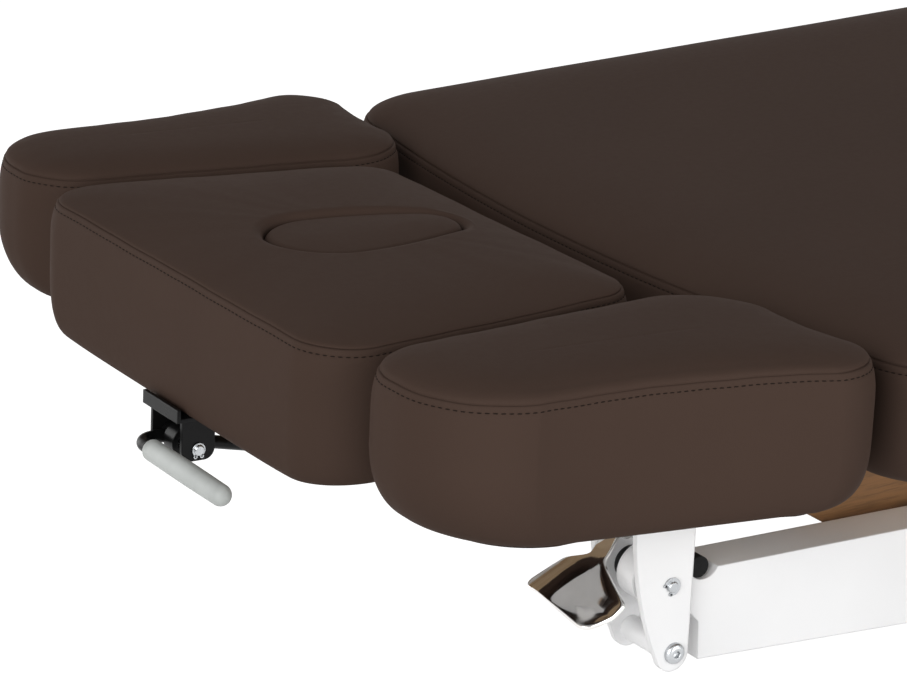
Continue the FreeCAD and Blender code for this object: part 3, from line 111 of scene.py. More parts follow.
def readPoints(mesh):
    flat = np.empty(len(mesh.vertices) * 3)
    mesh.vertices.foreach_get("co", flat)
    return flat.reshape(-1, 3)


def writePoints(mesh, points):
    mesh.vertices.foreach_set("co", points.ravel())
    mesh.update()


def addObject(name, data):
    made = bpy.data.objects.new(name, data)
    scene.collection.objects.link(made)
    return made


def applyModifier(thing, modifier):
    bpy.context.view_layer.objects.active = thing
    bpy.ops.object.modifier_apply(modifier=modifier.name)


def dropObject(thing):
    mesh = thing.data
    bpy.data.objects.remove(thing)
    bpy.data.meshes.remove(mesh)


def addPiece(name, mesh, body, finish):
    piece = addObject(name, mesh)
    mesh.materials.append(finishes[finish])
    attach(piece, body)
    return piece


# several meshes as one, with faces turned outwards and edges sharper than the angle kept sharp
def joinMeshes(name, meshes, sharp):
    work = bmesh.new()
    for mesh in meshes:
        work.from_mesh(mesh)
        bpy.data.meshes.remove(mesh)
    bmesh.ops.recalc_face_normals(work, faces=work.faces)
    joined = bpy.data.meshes.new(name)
    work.to_mesh(joined)
    work.free()
    shadeSmooth(joined)
    joined.set_sharp_from_angle(angle=sharp)
    return joined


# Materials. Patterns are on Object coordinates, in metres, because every piece sits at the origin.
class Finish:
    def __init__(self, name):
        self.material = bpy.data.materials.new(name)
        self.material.use_nodes = True
        self.tree = self.material.node_tree
        self.shader = self.tree.nodes["Principled BSDF"]
        self.coords = self.tree.nodes.new("ShaderNodeTexCoord").outputs["Object"]
        finishes[name] = self.material

    def node(self, kind, **inputs):
        made = self.tree.nodes.new("ShaderNode" + kind)
        for key, value in inputs.items():
            self.feed(made.inputs[key], value)
        return made

    def feed(self, socket, value):
        if isinstance(value, bpy.types.NodeSocket):
            self.tree.links.new(value, socket)
        else:
            socket.default_value = value

    def set(self, **inputs):
        for key, value in inputs.items():
            self.feed(self.shader.inputs[key.replace("_", " ")], value)

    # stretched and turned coordinates
    def mapped(self, scale=(1, 1, 1), turn=(0, 0, 0)):
        return self.node("Mapping", Vector=self.coords, Scale=scale, Rotation=turn).outputs["Vector"]

    def noise(self, scale, detail=3.0, roughness=0.5, at=None, stretch=0.0):
        return self.node("TexNoise", Vector=at or self.coords, Scale=scale, Detail=detail,
                         Roughness=roughness, Distortion=stretch).outputs["Fac"]

    # a factor between two limits carried over to two other limits
    def span(self, value, low, high, fromLow=0.3, fromHigh=0.7):
        return self.node("MapRange", Value=value, **{"From Min": fromLow, "From Max": fromHigh,
                                                     "To Min": low, "To Max": high}).outputs["Result"]

    def ramp(self, value, stops):
        made = self.node("ValToRGB", Fac=value)
        while len(made.color_ramp.elements) < len(stops):
            made.color_ramp.elements.new(0.5)
        for element, (place, colour) in zip(made.color_ramp.elements, stops):
            element.position = place
            element.color = (*colour, 1)
        return made.outputs["Color"]

    # a colour that drifts between two shades of itself
    def drift(self, colour, scale, detail, low, high):
        broad = self.span(self.noise(scale, detail), 0.0, 1.0)
        return self.ramp(broad, [(0.0, tint(colour, low)), (1.0, tint(colour, high))])

    def mix(self, factor, first, second, blend="MIX"):
        made = self.node("Mix")
        made.data_type = "RGBA"
        made.blend_type = blend
        for key, value in (("Factor", factor), ("A", first), ("B", second)):
            self.feed(made.inputs[key], value)
        return made.outputs["Result"]

    def bump(self, height, distance, strength=1.0, rounding=0.0):
        made = self.node("Bump", Height=height, Distance=distance, Strength=strength)
        if rounding:
            edge = self.node("Bevel", Radius=rounding)
            edge.samples = 4
            self.feed(made.inputs["Normal"], edge.outputs["Normal"])
        self.set(Normal=made.outputs["Normal"])


def tint(colour, factor):
    return tuple(min(1.0, part * factor) for part in colour)


# coated upholstery: fine pebble grain, broad faint shading, a soft satin gloss
vinyl = {"colour": (0.058, 0.0372, 0.029), "grainScale": 820, "grainDeep": 0.0001, "patch": 0.025}


def vinylFinish():
    f = Finish("vinyl")
    colour = f.drift(vinyl["colour"], 7.0, 2.0, 1 - vinyl["patch"], 1 + vinyl["patch"])
    pebble = f.node("TexVoronoi", Vector=f.coords, Scale=vinyl["grainScale"], Randomness=1.0)
    pebble.feature = "SMOOTH_F1"
    f.set(Base_Color=colour, Roughness=f.span(f.noise(160.0, 4.0), 0.6, 0.66), Specular_IOR_Level=0.015)
    f.bump(pebble.outputs["Distance"], vinyl["grainDeep"], 0.4)


def threadFinish():
    f = Finish("thread")
    twist = f.node("TexWave", Vector=f.mapped(turn=(0.4, 0.6, 0.9)), Scale=900.0, Distortion=1.5)
    colour = f.ramp(twist.outputs["Fac"], [(0.0, (0.012, 0.0082, 0.0066)),
                                           (1.0, (0.024, 0.0165, 0.013))])
    f.set(Base_Color=colour, Roughness=0.75, Specular_IOR_Level=0.03)
    f.bump(twist.outputs["Fac"], 0.0001, 0.6)


# powder coat: faint orange peel, edges that catch the light
def paintFinish(name, colour, gloss, shine, rounding):
    f = Finish(name)
    f.set(Base_Color=f.drift(colour, 9.0, 2.0, 0.97, 1.03),
          Roughness=f.span(f.noise(60.0, 3.0), gloss - 0.04, gloss + 0.06), Specular_IOR_Level=shine)
    f.bump(f.noise(1400.0, 2.0), 0.00008, 0.35, rounding)


# bright metal: fine lines along one direction, uneven gloss
def metalFinish(name, colour, gloss, lines, rounding):
    f = Finish(name)
    brushed = f.noise(90.0, 4.0, at=f.mapped(scale=lines))
    f.set(Base_Color=f.drift(colour, 35.0, 3.0, 0.9, 1.08), Metallic=1.0,
          Roughness=f.span(brushed, gloss * 0.8, gloss * 1.35))
    f.bump(brushed, 0.00003, 0.3, rounding)


# wood along X: long streaks, darker pores and a slow change along the plank
def woodFinish(name, pale, deep, pores):
    f = Finish(name)
    streaks = f.noise(16.0, 6.0, 0.6, at=f.mapped(scale=(0.35, 5.0, 2.2)), stretch=0.6)
    fine = f.noise(60.0, 5.0, 0.7, at=f.mapped(scale=(0.4, 9.0, 9.0)))
    base = f.ramp(streaks, [(0.34, deep), (0.5, tint(pale, 0.88)), (0.68, pale)])
    marks = f.span(fine, pores, 1.0, 0.34, 0.52)
    colour = f.mix(1.0, base, f.ramp(marks, [(0.0, (0, 0, 0)), (1.0, (1, 1, 1))]), "MULTIPLY")
    f.set(Base_Color=colour, Roughness=f.span(fine, 0.42, 0.58), Specular_IOR_Level=0.4)
    f.bump(fine, 0.0002, 0.5, 0.0015)


# plies 1.4 mm thick, seen as stripes on an edge, and long fibres on the faces
def plywoodFinish():
    f = Finish("plywood")
    plies = f.node("TexWave", Vector=f.mapped(turn=(0, headSection["slope"] / 2, 0)), Scale=110.0,
                   Distortion=0.6)
    plies.bands_direction = "Z"
    stripes = f.ramp(plies.outputs["Fac"], [(0.25, (0.33, 0.2, 0.1)), (0.6, (0.56, 0.4, 0.24))])
    fibre = f.noise(40.0, 6.0, 0.6, at=f.mapped(scale=(0.5, 6.0, 6.0)))
    face = f.ramp(f.noise(9.0, 6.0, 0.6, at=f.mapped(scale=(0.4, 4.0, 1.0)), stretch=0.8),
                  [(0.32, (0.36, 0.225, 0.115)), (0.5, (0.47, 0.32, 0.18)), (0.7, (0.53, 0.375, 0.22))])
    upright = f.node("SeparateXYZ", Vector=f.node("NewGeometry").outputs["Normal"]).outputs["Z"]
    lying = f.node("Math")
    lying.operation = "ABSOLUTE"
    f.feed(lying.inputs[0], upright)
    colour = f.mix(f.span(lying.outputs["Value"], 0.0, 1.0, 0.6, 0.8), stripes, face)
    f.set(Base_Color=colour, Roughness=f.span(fibre, 0.6, 0.8))
    f.bump(fibre, 0.0002, 0.4)


# moulded plastic or rubber: spark-eroded texture and faint colour drift
def mouldedFinish(name, colour, gloss, shine, grain, deep):
    f = Finish(name)
    f.set(Base_Color=f.drift(colour, 25.0, 3.0, 0.9, 1.1), Specular_IOR_Level=shine,
          Roughness=f.span(f.noise(grain / 4, 3.0), gloss - 0.06, gloss + 0.08))
    f.bump(f.noise(grain, 2.0), deep, 0.5, 0.0012)


vinylFinish()
threadFinish()
paintFinish("white_paint", (0.84, 0.84, 0.845), 0.34, 0.5, 0.0018)
paintFinish("black_paint", (0.0045, 0.0045, 0.0047), 0.3, 0.12, 0.0012)
metalFinish("stainless", (0.74, 0.725, 0.71), 0.07, (1.0, 6.0, 1.0), 0.0008)
metalFinish("zinc", (0.47, 0.485, 0.5), 0.25, (3.0, 1.0, 3.0), 0.0006)
woodFinish("beech", (0.24, 0.115, 0.04), (0.11, 0.047, 0.015), 0.62)
plywoodFinish()
mouldedFinish("grey_grip", (0.47, 0.49, 0.475), 0.5, 0.4, 1500.0, 0.00006)
mouldedFinish("black_plastic", (0.01, 0.01, 0.0107), 0.42, 0.2, 1800.0, 0.0001)
mouldedFinish("grey_plastic", (0.2, 0.205, 0.21), 0.45, 0.4, 1300.0, 0.00015)
mouldedFinish("black_rubber", (0.007, 0.007, 0.007), 0.66, 0.12, 900.0, 0.0001)
for row in record["subparts"]:
    slots = frame["nodes"][row["node"]].data.materials
    slots.clear()
    slots.append(finishes[row["material_slot"]])
print("finishes:", len(finishes))


# Outlines are seen from above, run anticlockwise, and are given as (x, y) arrays.
# circle through three points, or the straight line when they are in line
def arcThrough(start, middle, end, count):
    t = np.linspace(0, 1, count, endpoint=False)
    toMiddle, toEnd = np.subtract(middle, start), np.subtract(end, start)
    cross = 2 * (toMiddle[0] * toEnd[1] - toMiddle[1] * toEnd[0])
    if abs(cross) < 1e-6 * (toEnd @ toEnd):
        return np.asarray(start) + toEnd * t[:, None]
    m2, e2 = toMiddle @ toMiddle, toEnd @ toEnd
    offset = np.array([toEnd[1] * m2 - toMiddle[1] * e2, toMiddle[0] * e2 - toEnd[0] * m2]) / cross
    centre = np.asarray(start) + offset
    first = math.atan2(-offset[1], -offset[0])
    last = math.atan2(end[1] - centre[1], end[0] - centre[0])
    sweep = (last - first) % (2 * math.pi)
    if cross < 0:
        sweep -= 2 * math.pi
    angle = first + sweep * t
    return centre + math.hypot(*offset) * np.stack([np.cos(angle), np.sin(angle)], -1)


# points spaced evenly along a closed line
def evenly(line, count):
    closed = np.concatenate([line, line[:1]])
    run = np.concatenate([[0], np.cumsum(np.linalg.norm(np.diff(closed, axis=0), axis=1))])
    at = np.linspace(0, run[-1], count, endpoint=False)
    return np.stack([np.interp(at, run, closed[:, k]) for k in range(closed.shape[1])], -1)


# corners (x, y, radius, bow): tangent arcs at the corners, edges bowed out by the last number
def roundedOutline(corners, count):
    spots = np.array([corner[:2] for corner in corners])
    ahead = np.roll(spots, -1, 0) - spots
    ahead = ahead / np.linalg.norm(ahead, axis=1)[:, None]
    back = -np.roll(ahead, 1, 0)
    half = np.arccos((ahead * back).sum(1)) / 2
    radius = np.array([corner[2] for corner in corners])
    reach = (radius / np.tan(half))[:, None]
    inward = (ahead + back) / np.linalg.norm(ahead + back, axis=1)[:, None]
    middle = spots + inward * (radius / np.sin(half) - radius)[:, None]
    stretches = []
    for i, corner in enumerate(corners):
        after = (i + 1) % len(corners)
        leave = spots[i] + ahead[i] * reach[i]
        arrive = spots[after] + back[after] * reach[after]
        outward = np.array([ahead[i][1], -ahead[i][0]]) * corner[3]
        stretches.append(arcThrough(spots[i] + back[i] * reach[i], middle[i], leave, 60))
        stretches.append(arcThrough(leave, (leave + arrive) / 2 + outward, arrive, 60))
    return evenly(np.concatenate(stretches), count)


# Cushions: the outline carried along a profile of (inset, height) from the underside to the top.
pad = {
    "seamTuck": 0.0045,       # how far the sides draw in at the top seam
    "roundness": 2.6,         # of the lower edge, as a superellipse
    "boardInset": 0.0258,
    "boardSeat": 0.0122,
    "seamDeep": 0.00132,
    "seamWide": 0.0011,
    "stitchDrop": 0.0062,     # stitch row below the seam
    "stitchDeep": 0.0005,
    "stitchWide": 0.0012,
    "waver": 0.0002,          # uneven run of the seam
    "waverFade": 0.03,
    "blend": 0.012,           # from the planned top beside the seam to the smoothed one
}
stitch = {"pitch": 0.0053, "length": 0.0031, "radius": 0.00042, "proud": 0.35}
puff = {"mass": 0.3, "pressure": 4.0, "frames": 20, "smaller": 0.0045, "cap": 0.0055, "share": 0.2,
        "seamFade": 0.007, "smoothings": 40, "stride": 8}


# distances from the seam, close together beside it
def seamSteps(far, count):
    close = np.array([0, 0.0004, 0.0009, 0.0016, 0.0026, 0.004])
    return np.concatenate([close, np.geomspace(0.006, far, count)])


# the seam's groove at a distance from it
def seamGroove(gap):
    return pad["seamDeep"] * np.exp(-(gap / pad["seamWide"]) ** 2)


# lower half of the side: superellipse from the flat underside to the side; upper half: cubic draw-in
# towards the seam. The seam and the stitch row are narrow bell-shaped grooves. Returns the profile, each
# row's distance from the seam and the number of the stitch row.
def sideProfile(form, smaller):
    thick, tuck = form["thick"], form["underTuck"]
    phi = np.linspace(math.pi / 2, 0, 18)
    power = 2 / pad["roundness"]
    low = np.stack([tuck * (1 - np.cos(phi) ** power),
                    -thick * (0.5 + 0.5 * np.sin(phi) ** power)], -1)
    low[0, 0] = tuck
    row = pad["stitchDrop"] + pad["stitchWide"] * np.array([-1.2, -0.6, 0, 0.6, 1.2])
    drop = np.unique(np.concatenate([seamSteps(thick * 0.47, 12), row]))[::-1]
    draw = np.clip(1 - drop / (0.3 * thick), 0, 1) ** 3
    groove = seamGroove(drop)
    sewn = pad["stitchDeep"] * np.exp(-((drop - pad["stitchDrop"]) / pad["stitchWide"]) ** 2)
    high = np.stack([pad["seamTuck"] * draw + groove + sewn, -drop - groove], -1)
    side = np.concatenate([low, high])
    bulge = np.clip(np.sin(math.pi * -side[:, 1] / thick), 0, 1)
    side[:, 0] += smaller * bulge
    fromSeam = np.concatenate([np.full(len(low), 1.0), drop])
    return side, fromSeam, int(np.argmin(np.abs(fromSeam - pad["stitchDrop"])))


# 0 down to the middle of the side, then ((-z / thick - 0.5) / 0.5)^1.5, up to 1 at the underside
def lowShare(height, thick):
    return np.clip((-height / thick - 0.5) / 0.5, 0, 1) ** 1.5


# crown: height = crown * (1 - (1 - q^shoulder)^2.6), where q goes from 0 at the seam to 1 at the reach
def crownHeight(inward, form, smaller):
    q = np.clip(inward / form["reach"], 0, 1)
    return (form["crown"] - smaller) * (1 - (1 - q ** form["shoulder"]) ** 2.6) - seamGroove(inward)


def inset(outline, amount):
    low, high = outline.min(0), outline.max(0)
    return (low + high) / 2 + (outline - (low + high) / 2) * (1 - 2 * amount / (high - low))


def level(outline, height):
    return np.column_stack([outline, np.broadcast_to(np.asarray(height, float), len(outline))])


# smoothed distance from a closed line, exact beside a long straight one:
# (sum(step / gap^4) / (pi / 2))^(-1/3)
def softGap(points, line):
    step = np.linalg.norm(np.roll(line, -1, 0) - line, axis=1)
    total = np.zeros(points.shape[:-1])
    for spot, wide in zip(line, step):
        total += wide / (((points - spot) ** 2).sum(-1) + 1e-9) ** 2
    return (total / (math.pi / 2)) ** (-1 / 3)


# top heights: the planned ones beside the seam, further in the crown's at the smoothed distance
def crownTop(top, inward, seamRing, form, smaller):
    share = np.clip(inward / pad["blend"], 0, 1)
    soft = crownHeight(softGap(top[:, :, :2], seamRing), form, smaller)
    return top[:, :, 2] + (soft - top[:, :, 2]) * share


# rings of a plain cushion, the distance of each from the seam, and the stitch row's number. With t from
# 0 at the back to 1 at the head, the top keeps 1 - backLow * (1 - t)^2 of its height. The low share of
# headTuck * t and outerTuck * t^2 draws the rings in, and that of
# headLift * t^3 + backLift * (1 - t)^3 - belly * 4 t (1 - t) lifts them.
def padRings(outline, form, smaller):
    half = ((outline.max(0) - outline.min(0)) / 2).min()
    thick, reach = form["thick"], form["reach"]
    side, fromSeam, sewn = sideProfile(form, smaller)
    ceiling = -thick + pad["boardSeat"]
    under = [(gap, ceiling) for gap in np.linspace(half * 0.92, pad["boardInset"], 7)]
    under.append((pad["boardInset"], -thick))
    inward = seamSteps(reach * 0.94, 22)[1:]
    centre = np.linspace(reach, half * 0.985 - pad["seamTuck"], 9)
    inward = np.concatenate([inward, centre])
    top = np.stack([inward + pad["seamTuck"], crownHeight(inward, form, smaller)], -1)
    profile = np.concatenate([under, side, top])
    away = np.concatenate([np.full(len(under), 1.0), fromSeam, inward])
    rings = np.stack([level(inset(outline, gap), height) for gap, height in profile])
    first = len(under) + len(side)
    seamRing = inset(outline, pad["seamTuck"])
    rings[first:, :, 2] = crownTop(rings[first:], inward[:, None], seamRing, form, smaller)
    fromHead = (rings[first:, :, 0] - outline[:, 0].min()) / np.ptp(outline[:, 0])
    rings[first:, :, 2] *= 1 - form["backLow"] * fromHead ** 2
    share = lowShare(profile[:, 1], thick)
    share[:len(under)] = 0
    t = (outline[:, 0].max() - outline[:, 0]) / np.ptp(outline[:, 0])
    lift = form["headLift"] * t ** 3 + form["backLift"] * (1 - t) ** 3 - form["belly"] * 4 * t * (1 - t)
    rings[:len(under), :, 0] += form["boardTuck"] * t
    outer = np.abs(outline[:, 1]) - np.abs(outline[:, 1]).min()
    rings[:, :, 0] += form["headTuck"] * share[:, None] * t
    rings[:, :, 1] += form["outerTuck"] * share[:, None] * t ** 2 * outer / max(outer.max(), 1e-6)
    rings[:, :, 2] += share[:, None] * lift
    return rings, away, len(under) + sewn


# rings of a cushion with an opening: underside, side, top, rolled rim and the opening's wall. The low
# share of sideLift * (|y| / half)^6 lifts the side.
def openPadRings(outline, hole, form, smaller):
    thick, roll, rimRows = form["thick"], form["roll"], 9
    side, fromSeam, sewn = sideProfile(form, smaller)
    ceiling = -thick + pad["boardSeat"]
    middle = hole.mean(0)
    bearing = np.arctan2(*(outline - middle).T[::-1])
    holeBearing = np.arctan2(*(hole - middle).T[::-1])
    order = np.argsort(holeBearing)
    radius = np.interp(bearing, holeBearing[order], np.linalg.norm(hole - middle, axis=1)[order],
                       period=2 * math.pi)
    ray = np.stack([np.cos(bearing), np.sin(bearing)], -1)

    def rim(beyond):
        return middle + ray * (radius + beyond)[:, None]
    edge = inset(outline, pad["boardInset"])
    rows = [level(rim(0.0), ceiling)]
    rows += [level(rim(0.0) + (edge - rim(0.0)) * t, ceiling) for t in np.linspace(0.15, 1, 6)]
    rows.append(level(edge, -thick))
    start = len(rows)
    rows += [level(inset(outline, gap), height) for gap, height in side]
    first = len(rows)
    seamRing = inset(outline, pad["seamTuck"])
    brink = rim(roll)
    width = np.linalg.norm(brink - seamRing, axis=1)
    toRim = (brink - seamRing) / width[:, None]
    narrow = width.min() * 0.9
    steps = seamSteps(narrow, 22)[1:]
    inwards = [step + (width - narrow) * (step / narrow) ** 2 * 0.985 for step in steps]
    rows += [level(seamRing + toRim * gap[:, None], crownHeight(gap, form, smaller)) for gap in inwards]
    rolled = len(rows)
    brinkHeight = crownHeight(width, form, smaller)
    for turn in np.linspace(0, math.pi / 2, rimRows):
        rows.append(level(rim(roll * (1 - math.sin(turn))), brinkHeight - roll * (1 - math.cos(turn))))
    low = brinkHeight.min() - roll
    rows += [level(rim(0.0), low + (ceiling - low) * t) for t in np.linspace(0.2, 0.9, 5)]
    rings = np.stack(rows)
    rings[first:rolled, :, 2] = crownTop(rings[first:rolled], np.stack(inwards), seamRing, form, smaller)
    lift = crownHeight(softGap(brink, seamRing), form, smaller) - brinkHeight
    rings[rolled:rolled + rimRows, :, 2] += lift
    reach = np.abs(outline[:, 1]) / np.abs(outline[:, 1]).max()
    share = lowShare(side[:, 1], thick)
    rings[start:first, :, 2] += form["sideLift"] * share[:, None] * reach ** 6
    away = np.full(len(rings), 1.0)
    away[start:first] = fromSeam
    away[first:rolled] = steps
    return rings, away, start + sewn


# A cloth skin blown up round a slack pad, held at the seam, the underside and any opening. What its
# smoothed swelling has beyond an even growth to the full pad is added to the full pad, which keeps its
# sharp seam: full + share * (swell - part * grown), where grown = full - slack and
# part = sum(swell * grown) / sum(grown^2).
def puffUp(name, rings, full, away, form, torus, hole=None):
    thick, voxel = form["thick"], form["voxel"]
    blank = addObject(name + "Skin", ringMesh(name + "Skin", rings, torus))
    remesh = blank.modifiers.new("even", "REMESH")
    remesh.mode = "VOXEL"
    remesh.voxel_size = voxel
    applyModifier(blank, remesh)
    rest = readPoints(blank.data)
    seamLine = rings[int(np.argmin(away))][::2]
    gap = np.full(len(rest), np.inf)
    for part in np.array_split(seamLine, 8):
        gap = np.minimum(gap, np.linalg.norm(rest[:, None] - part[None], axis=2).min(1))
    fixed = (gap < 1.2 * voxel) | (rest[:, 2] < -thick + pad["boardSeat"] + voxel)
    if hole is not None:
        near = np.linalg.norm(rest[:, None, :2] - hole[None, ::6], axis=2).min(1)
        fixed |= near < 2 * voxel
    held = blank.vertex_groups.new(name="held")
    held.add(np.flatnonzero(fixed).tolist(), 1.0, "REPLACE")
    cloth = blank.modifiers.new("cloth", "CLOTH")
    settings = cloth.settings
    settings.quality = 4
    settings.mass = puff["mass"]
    settings.use_pressure = True
    settings.uniform_pressure_force = puff["pressure"]
    settings.vertex_group_mass = held.name
    settings.effector_weights.gravity = 0
    cloth.point_cache.frame_end = puff["frames"]
    for step in range(1, puff["frames"] + 1):
        scene.frame_set(step)
    blown = readPoints(blank.evaluated_get(bpy.context.evaluated_depsgraph_get()).data)
    move = blown - rest
    size = np.linalg.norm(move, axis=1)[:, None]
    move *= np.minimum(1, puff["cap"] / np.maximum(size, 1e-9))
    blank.modifiers.remove(cloth)
    writePoints(blank.data, rest + move)
    wrapped = addObject(name + "Wrap", ringMesh(name + "Wrap", rings, torus))
    wrap = wrapped.modifiers.new("wrap", "SHRINKWRAP")
    wrap.target = blank
    applyModifier(wrapped, wrap)
    swell = readPoints(wrapped.data)[:rings.shape[0] * rings.shape[1]].reshape(rings.shape) - rings
    swell *= (1 - np.exp(-(away / puff["seamFade"]) ** 2))[:, None, None]
    for _ in range(puff["smoothings"]):
        swell = (np.roll(swell, puff["stride"], 1) + np.roll(swell, -puff["stride"], 1) + 2 * swell) / 4
        beside = np.concatenate([swell[:1], swell[:-1]]) + np.concatenate([swell[1:], swell[-1:]])
        swell = (beside + 2 * swell) / 4
    dropObject(blank)
    dropObject(wrapped)
    scene.frame_set(1)
    grown = full - rings
    part = (swell * grown).sum() / (grown ** 2).sum()
    print(name, "swelled by", round(float(part), 2), "of its slack")
    return full + puff["share"] * (swell - part * grown)


# the seam's uneven run: two sines round the outline, fading away from the seam
def waver(rings, away, seed):
    turn = roundAngles(rings.shape[1])
    rise = np.sin(9 * turn + seed) + 0.6 * np.sin(23 * turn + 2.3 * seed)
    rings[:, :, 2] += pad["waver"] * np.exp(-(away / pad["waverFade"]) ** 2)[:, None] * rise[None]
    return rings


# capsules laid end to end along a ring: a unit capsule carried into each stitch's own axes
def stitchMesh(name, rings, row):
    radius = stitch["radius"]
    run = np.linalg.norm(np.diff(rings[row], axis=0), axis=1).sum()
    line = evenly(rings[row], int(run / stitch["pitch"]))
    along = np.roll(line, -1, 0) - np.roll(line, 1, 0)
    along /= np.linalg.norm(along, axis=1)[:, None]
    nearest = np.linalg.norm(rings[row][None] - line[:, None], axis=2).argmin(1)
    up = rings[row + 1][nearest] - rings[row - 1][nearest]
    up /= np.linalg.norm(up, axis=1)[:, None]
    out = np.cross(along, up)
    phi = np.linspace(0, math.pi, 7)[1:-1]
    theta = roundAngles(6)
    lean = -np.cos(phi)
    reach = lean * radius + np.sign(lean.round(6)) * (stitch["length"] / 2 - radius)
    girth = np.sin(phi)[:, None] * radius
    shape = np.stack(np.broadcast_arrays(reach[:, None], girth * np.cos(theta), girth * np.sin(theta)),
                     -1)
    axes = np.stack([along, up, out], 1)
    seat = line + out * radius * stitch["proud"]
    points = np.einsum("rck,nkj->nrcj", shape, axes) + seat[:, None, None]
    count, size = len(line), shape.shape[0] * shape.shape[1]
    faces = np.array(ringFaces(shape.shape[0], shape.shape[1]))[:, ::-1]
    faces = (faces[None] + (np.arange(count) * size)[:, None, None]).reshape(-1, 4).tolist()
    ends = np.arange(shape.shape[1])
    for start in range(0, count * size, size):
        faces.append((start + ends).tolist())
        faces.append((start + size - 1 - ends).tolist())
    return newMesh(name, points.reshape(-1, 3), faces)


def addCushion(name, node, body, rings, sewn, place, torus=False):
    placed = place(rings)
    cushion = addPiece(name, ringMesh(name, placed, torus), body, "vinyl")
    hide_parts(node)
    if sewn is not None:
        thread = name + "Stitching"
        addPiece(thread, stitchMesh(thread, placed, sewn), body, "thread")
    print(name, len(cushion.data.polygons), "faces")


# the full pad, with its cloth skin's unevenness; build(slackness) makes rings
def swollen(name, build, form, torus=False, hole=None):
    full, away, sewn = build(0.0)
    full = puffUp(name, build(puff["smaller"])[0], full, away, form, torus, hole)
    return full, away, sewn


# main cushion: level, its head edge bowed towards the head
main = {"headEdgeX": -0.587, "footEdgeX": 0.954, "halfWidth": 0.4, "bow": 0.03175, "headCorner": 0.066,
        "footCorner": 0.06, "thick": 0.092, "crown": 0.017, "reach": 0.11, "shoulder": 0.72,
        "underTuck": 0.022, "headTuck": 0.0, "outerTuck": 0.0, "boardTuck": 0.0, "headLift": 0.0,
        "backLift": 0.0, "belly": 0.0, "backLow": 0.0, "seamZ": 0.7144, "points": 760, "voxel": 0.009}
mainCorners = [
    (main["footEdgeX"], -main["halfWidth"], main["footCorner"], 0),
    (main["footEdgeX"], main["halfWidth"], main["footCorner"], 0),
    (main["headEdgeX"] + main["bow"], main["halfWidth"], main["headCorner"], main["bow"]),
    (main["headEdgeX"] + main["bow"], -main["halfWidth"], main["headCorner"], 0),
]
mainOutline = roundedOutline(mainCorners, main["points"])
rings, away, sewn = swollen("mainCushion", lambda slack: padRings(mainOutline, main, slack), main)
addCushion("mainCushion", "main_cushion", "frame", waver(rings, away, 1.0), sewn,
           lambda points: points + np.array([0, 0, main["seamZ"]]))

# headrest with its egg-shaped face opening, blunt towards the head
headrest = {"length": 0.289, "frontHalf": 0.225, "backHalf": 0.183, "bow": 0.002, "frontCorner": 0.043,
            "backCorner": 0.035, "thick": 0.106, "crown": 0.012, "reach": 0.11, "shoulder": 0.95,
            "underTuck": 0.0115, "sideLift": 0.005, "points": 520, "voxel": 0.0055, "roll": 0.009}
egg = {"back": 0.044, "length": 0.159, "width": 0.096, "tip": 0.029, "lean": math.radians(22),
       "belly": 0.0045}
headrestCorners = [
    (0, -headrest["backHalf"], headrest["backCorner"], 0),
    (0, headrest["backHalf"], headrest["backCorner"], headrest["bow"]),
    (-headrest["length"], headrest["frontHalf"], headrest["frontCorner"], 0),
    (-headrest["length"], -headrest["frontHalf"], headrest["frontCorner"], headrest["bow"]),
]


# five arcs: the narrow end, two sides and the blunt end in two quarters
def eggOutline(drawnIn, count):
    tip, blunt = egg["tip"] - drawnIn, egg["width"] / 2 - drawnIn
    narrow = -egg["back"] - drawnIn
    wideX = -(egg["back"] + egg["length"] - egg["width"] / 2)
    tipY = tip * math.cos(egg["lean"])
    shoulder = narrow - tip + tip * math.sin(egg["lean"])
    sideX, sideY = (wideX + shoulder) / 2, (blunt + tipY) / 2 + egg["belly"]
    diagonal = blunt * math.sqrt(0.5)
    head = (wideX - blunt, 0)
    stretches = [
        arcThrough((shoulder, -tipY), (narrow, 0), (shoulder, tipY), 60),
        arcThrough((shoulder, tipY), (sideX, sideY), (wideX, blunt), 60),
        arcThrough((wideX, blunt), (wideX - diagonal, diagonal), head, 60),
        arcThrough(head, (wideX - diagonal, -diagonal), (wideX, -blunt), 60),
        arcThrough((wideX, -blunt), (sideX, -sideY), (shoulder, -tipY), 60),
    ]
    return evenly(np.concatenate(stretches), count)


faceHole = eggOutline(0, headrest["points"])
headrestOutline = roundedOutline(headrestCorners, headrest["points"])
rings, away, sewn = swollen("headrestCushion",
                            lambda slack: openPadRings(headrestOutline, faceHole, headrest, slack),
                            headrest, True, faceHole)
addCushion("headrestCushion", "headrest_cushion", "headrest", waver(rings, away, 2.0), sewn, ontoHead,
           True)

# face plug: the same egg a little smaller, with rolled edges and a low crown
plug = {"gap": 0.0006, "deep": 0.046, "roll": 0.0075, "underRoll": 0.005, "points": 220, "sag": 0.001,
        "fall": 0.0022, "wallLow": 0.012}


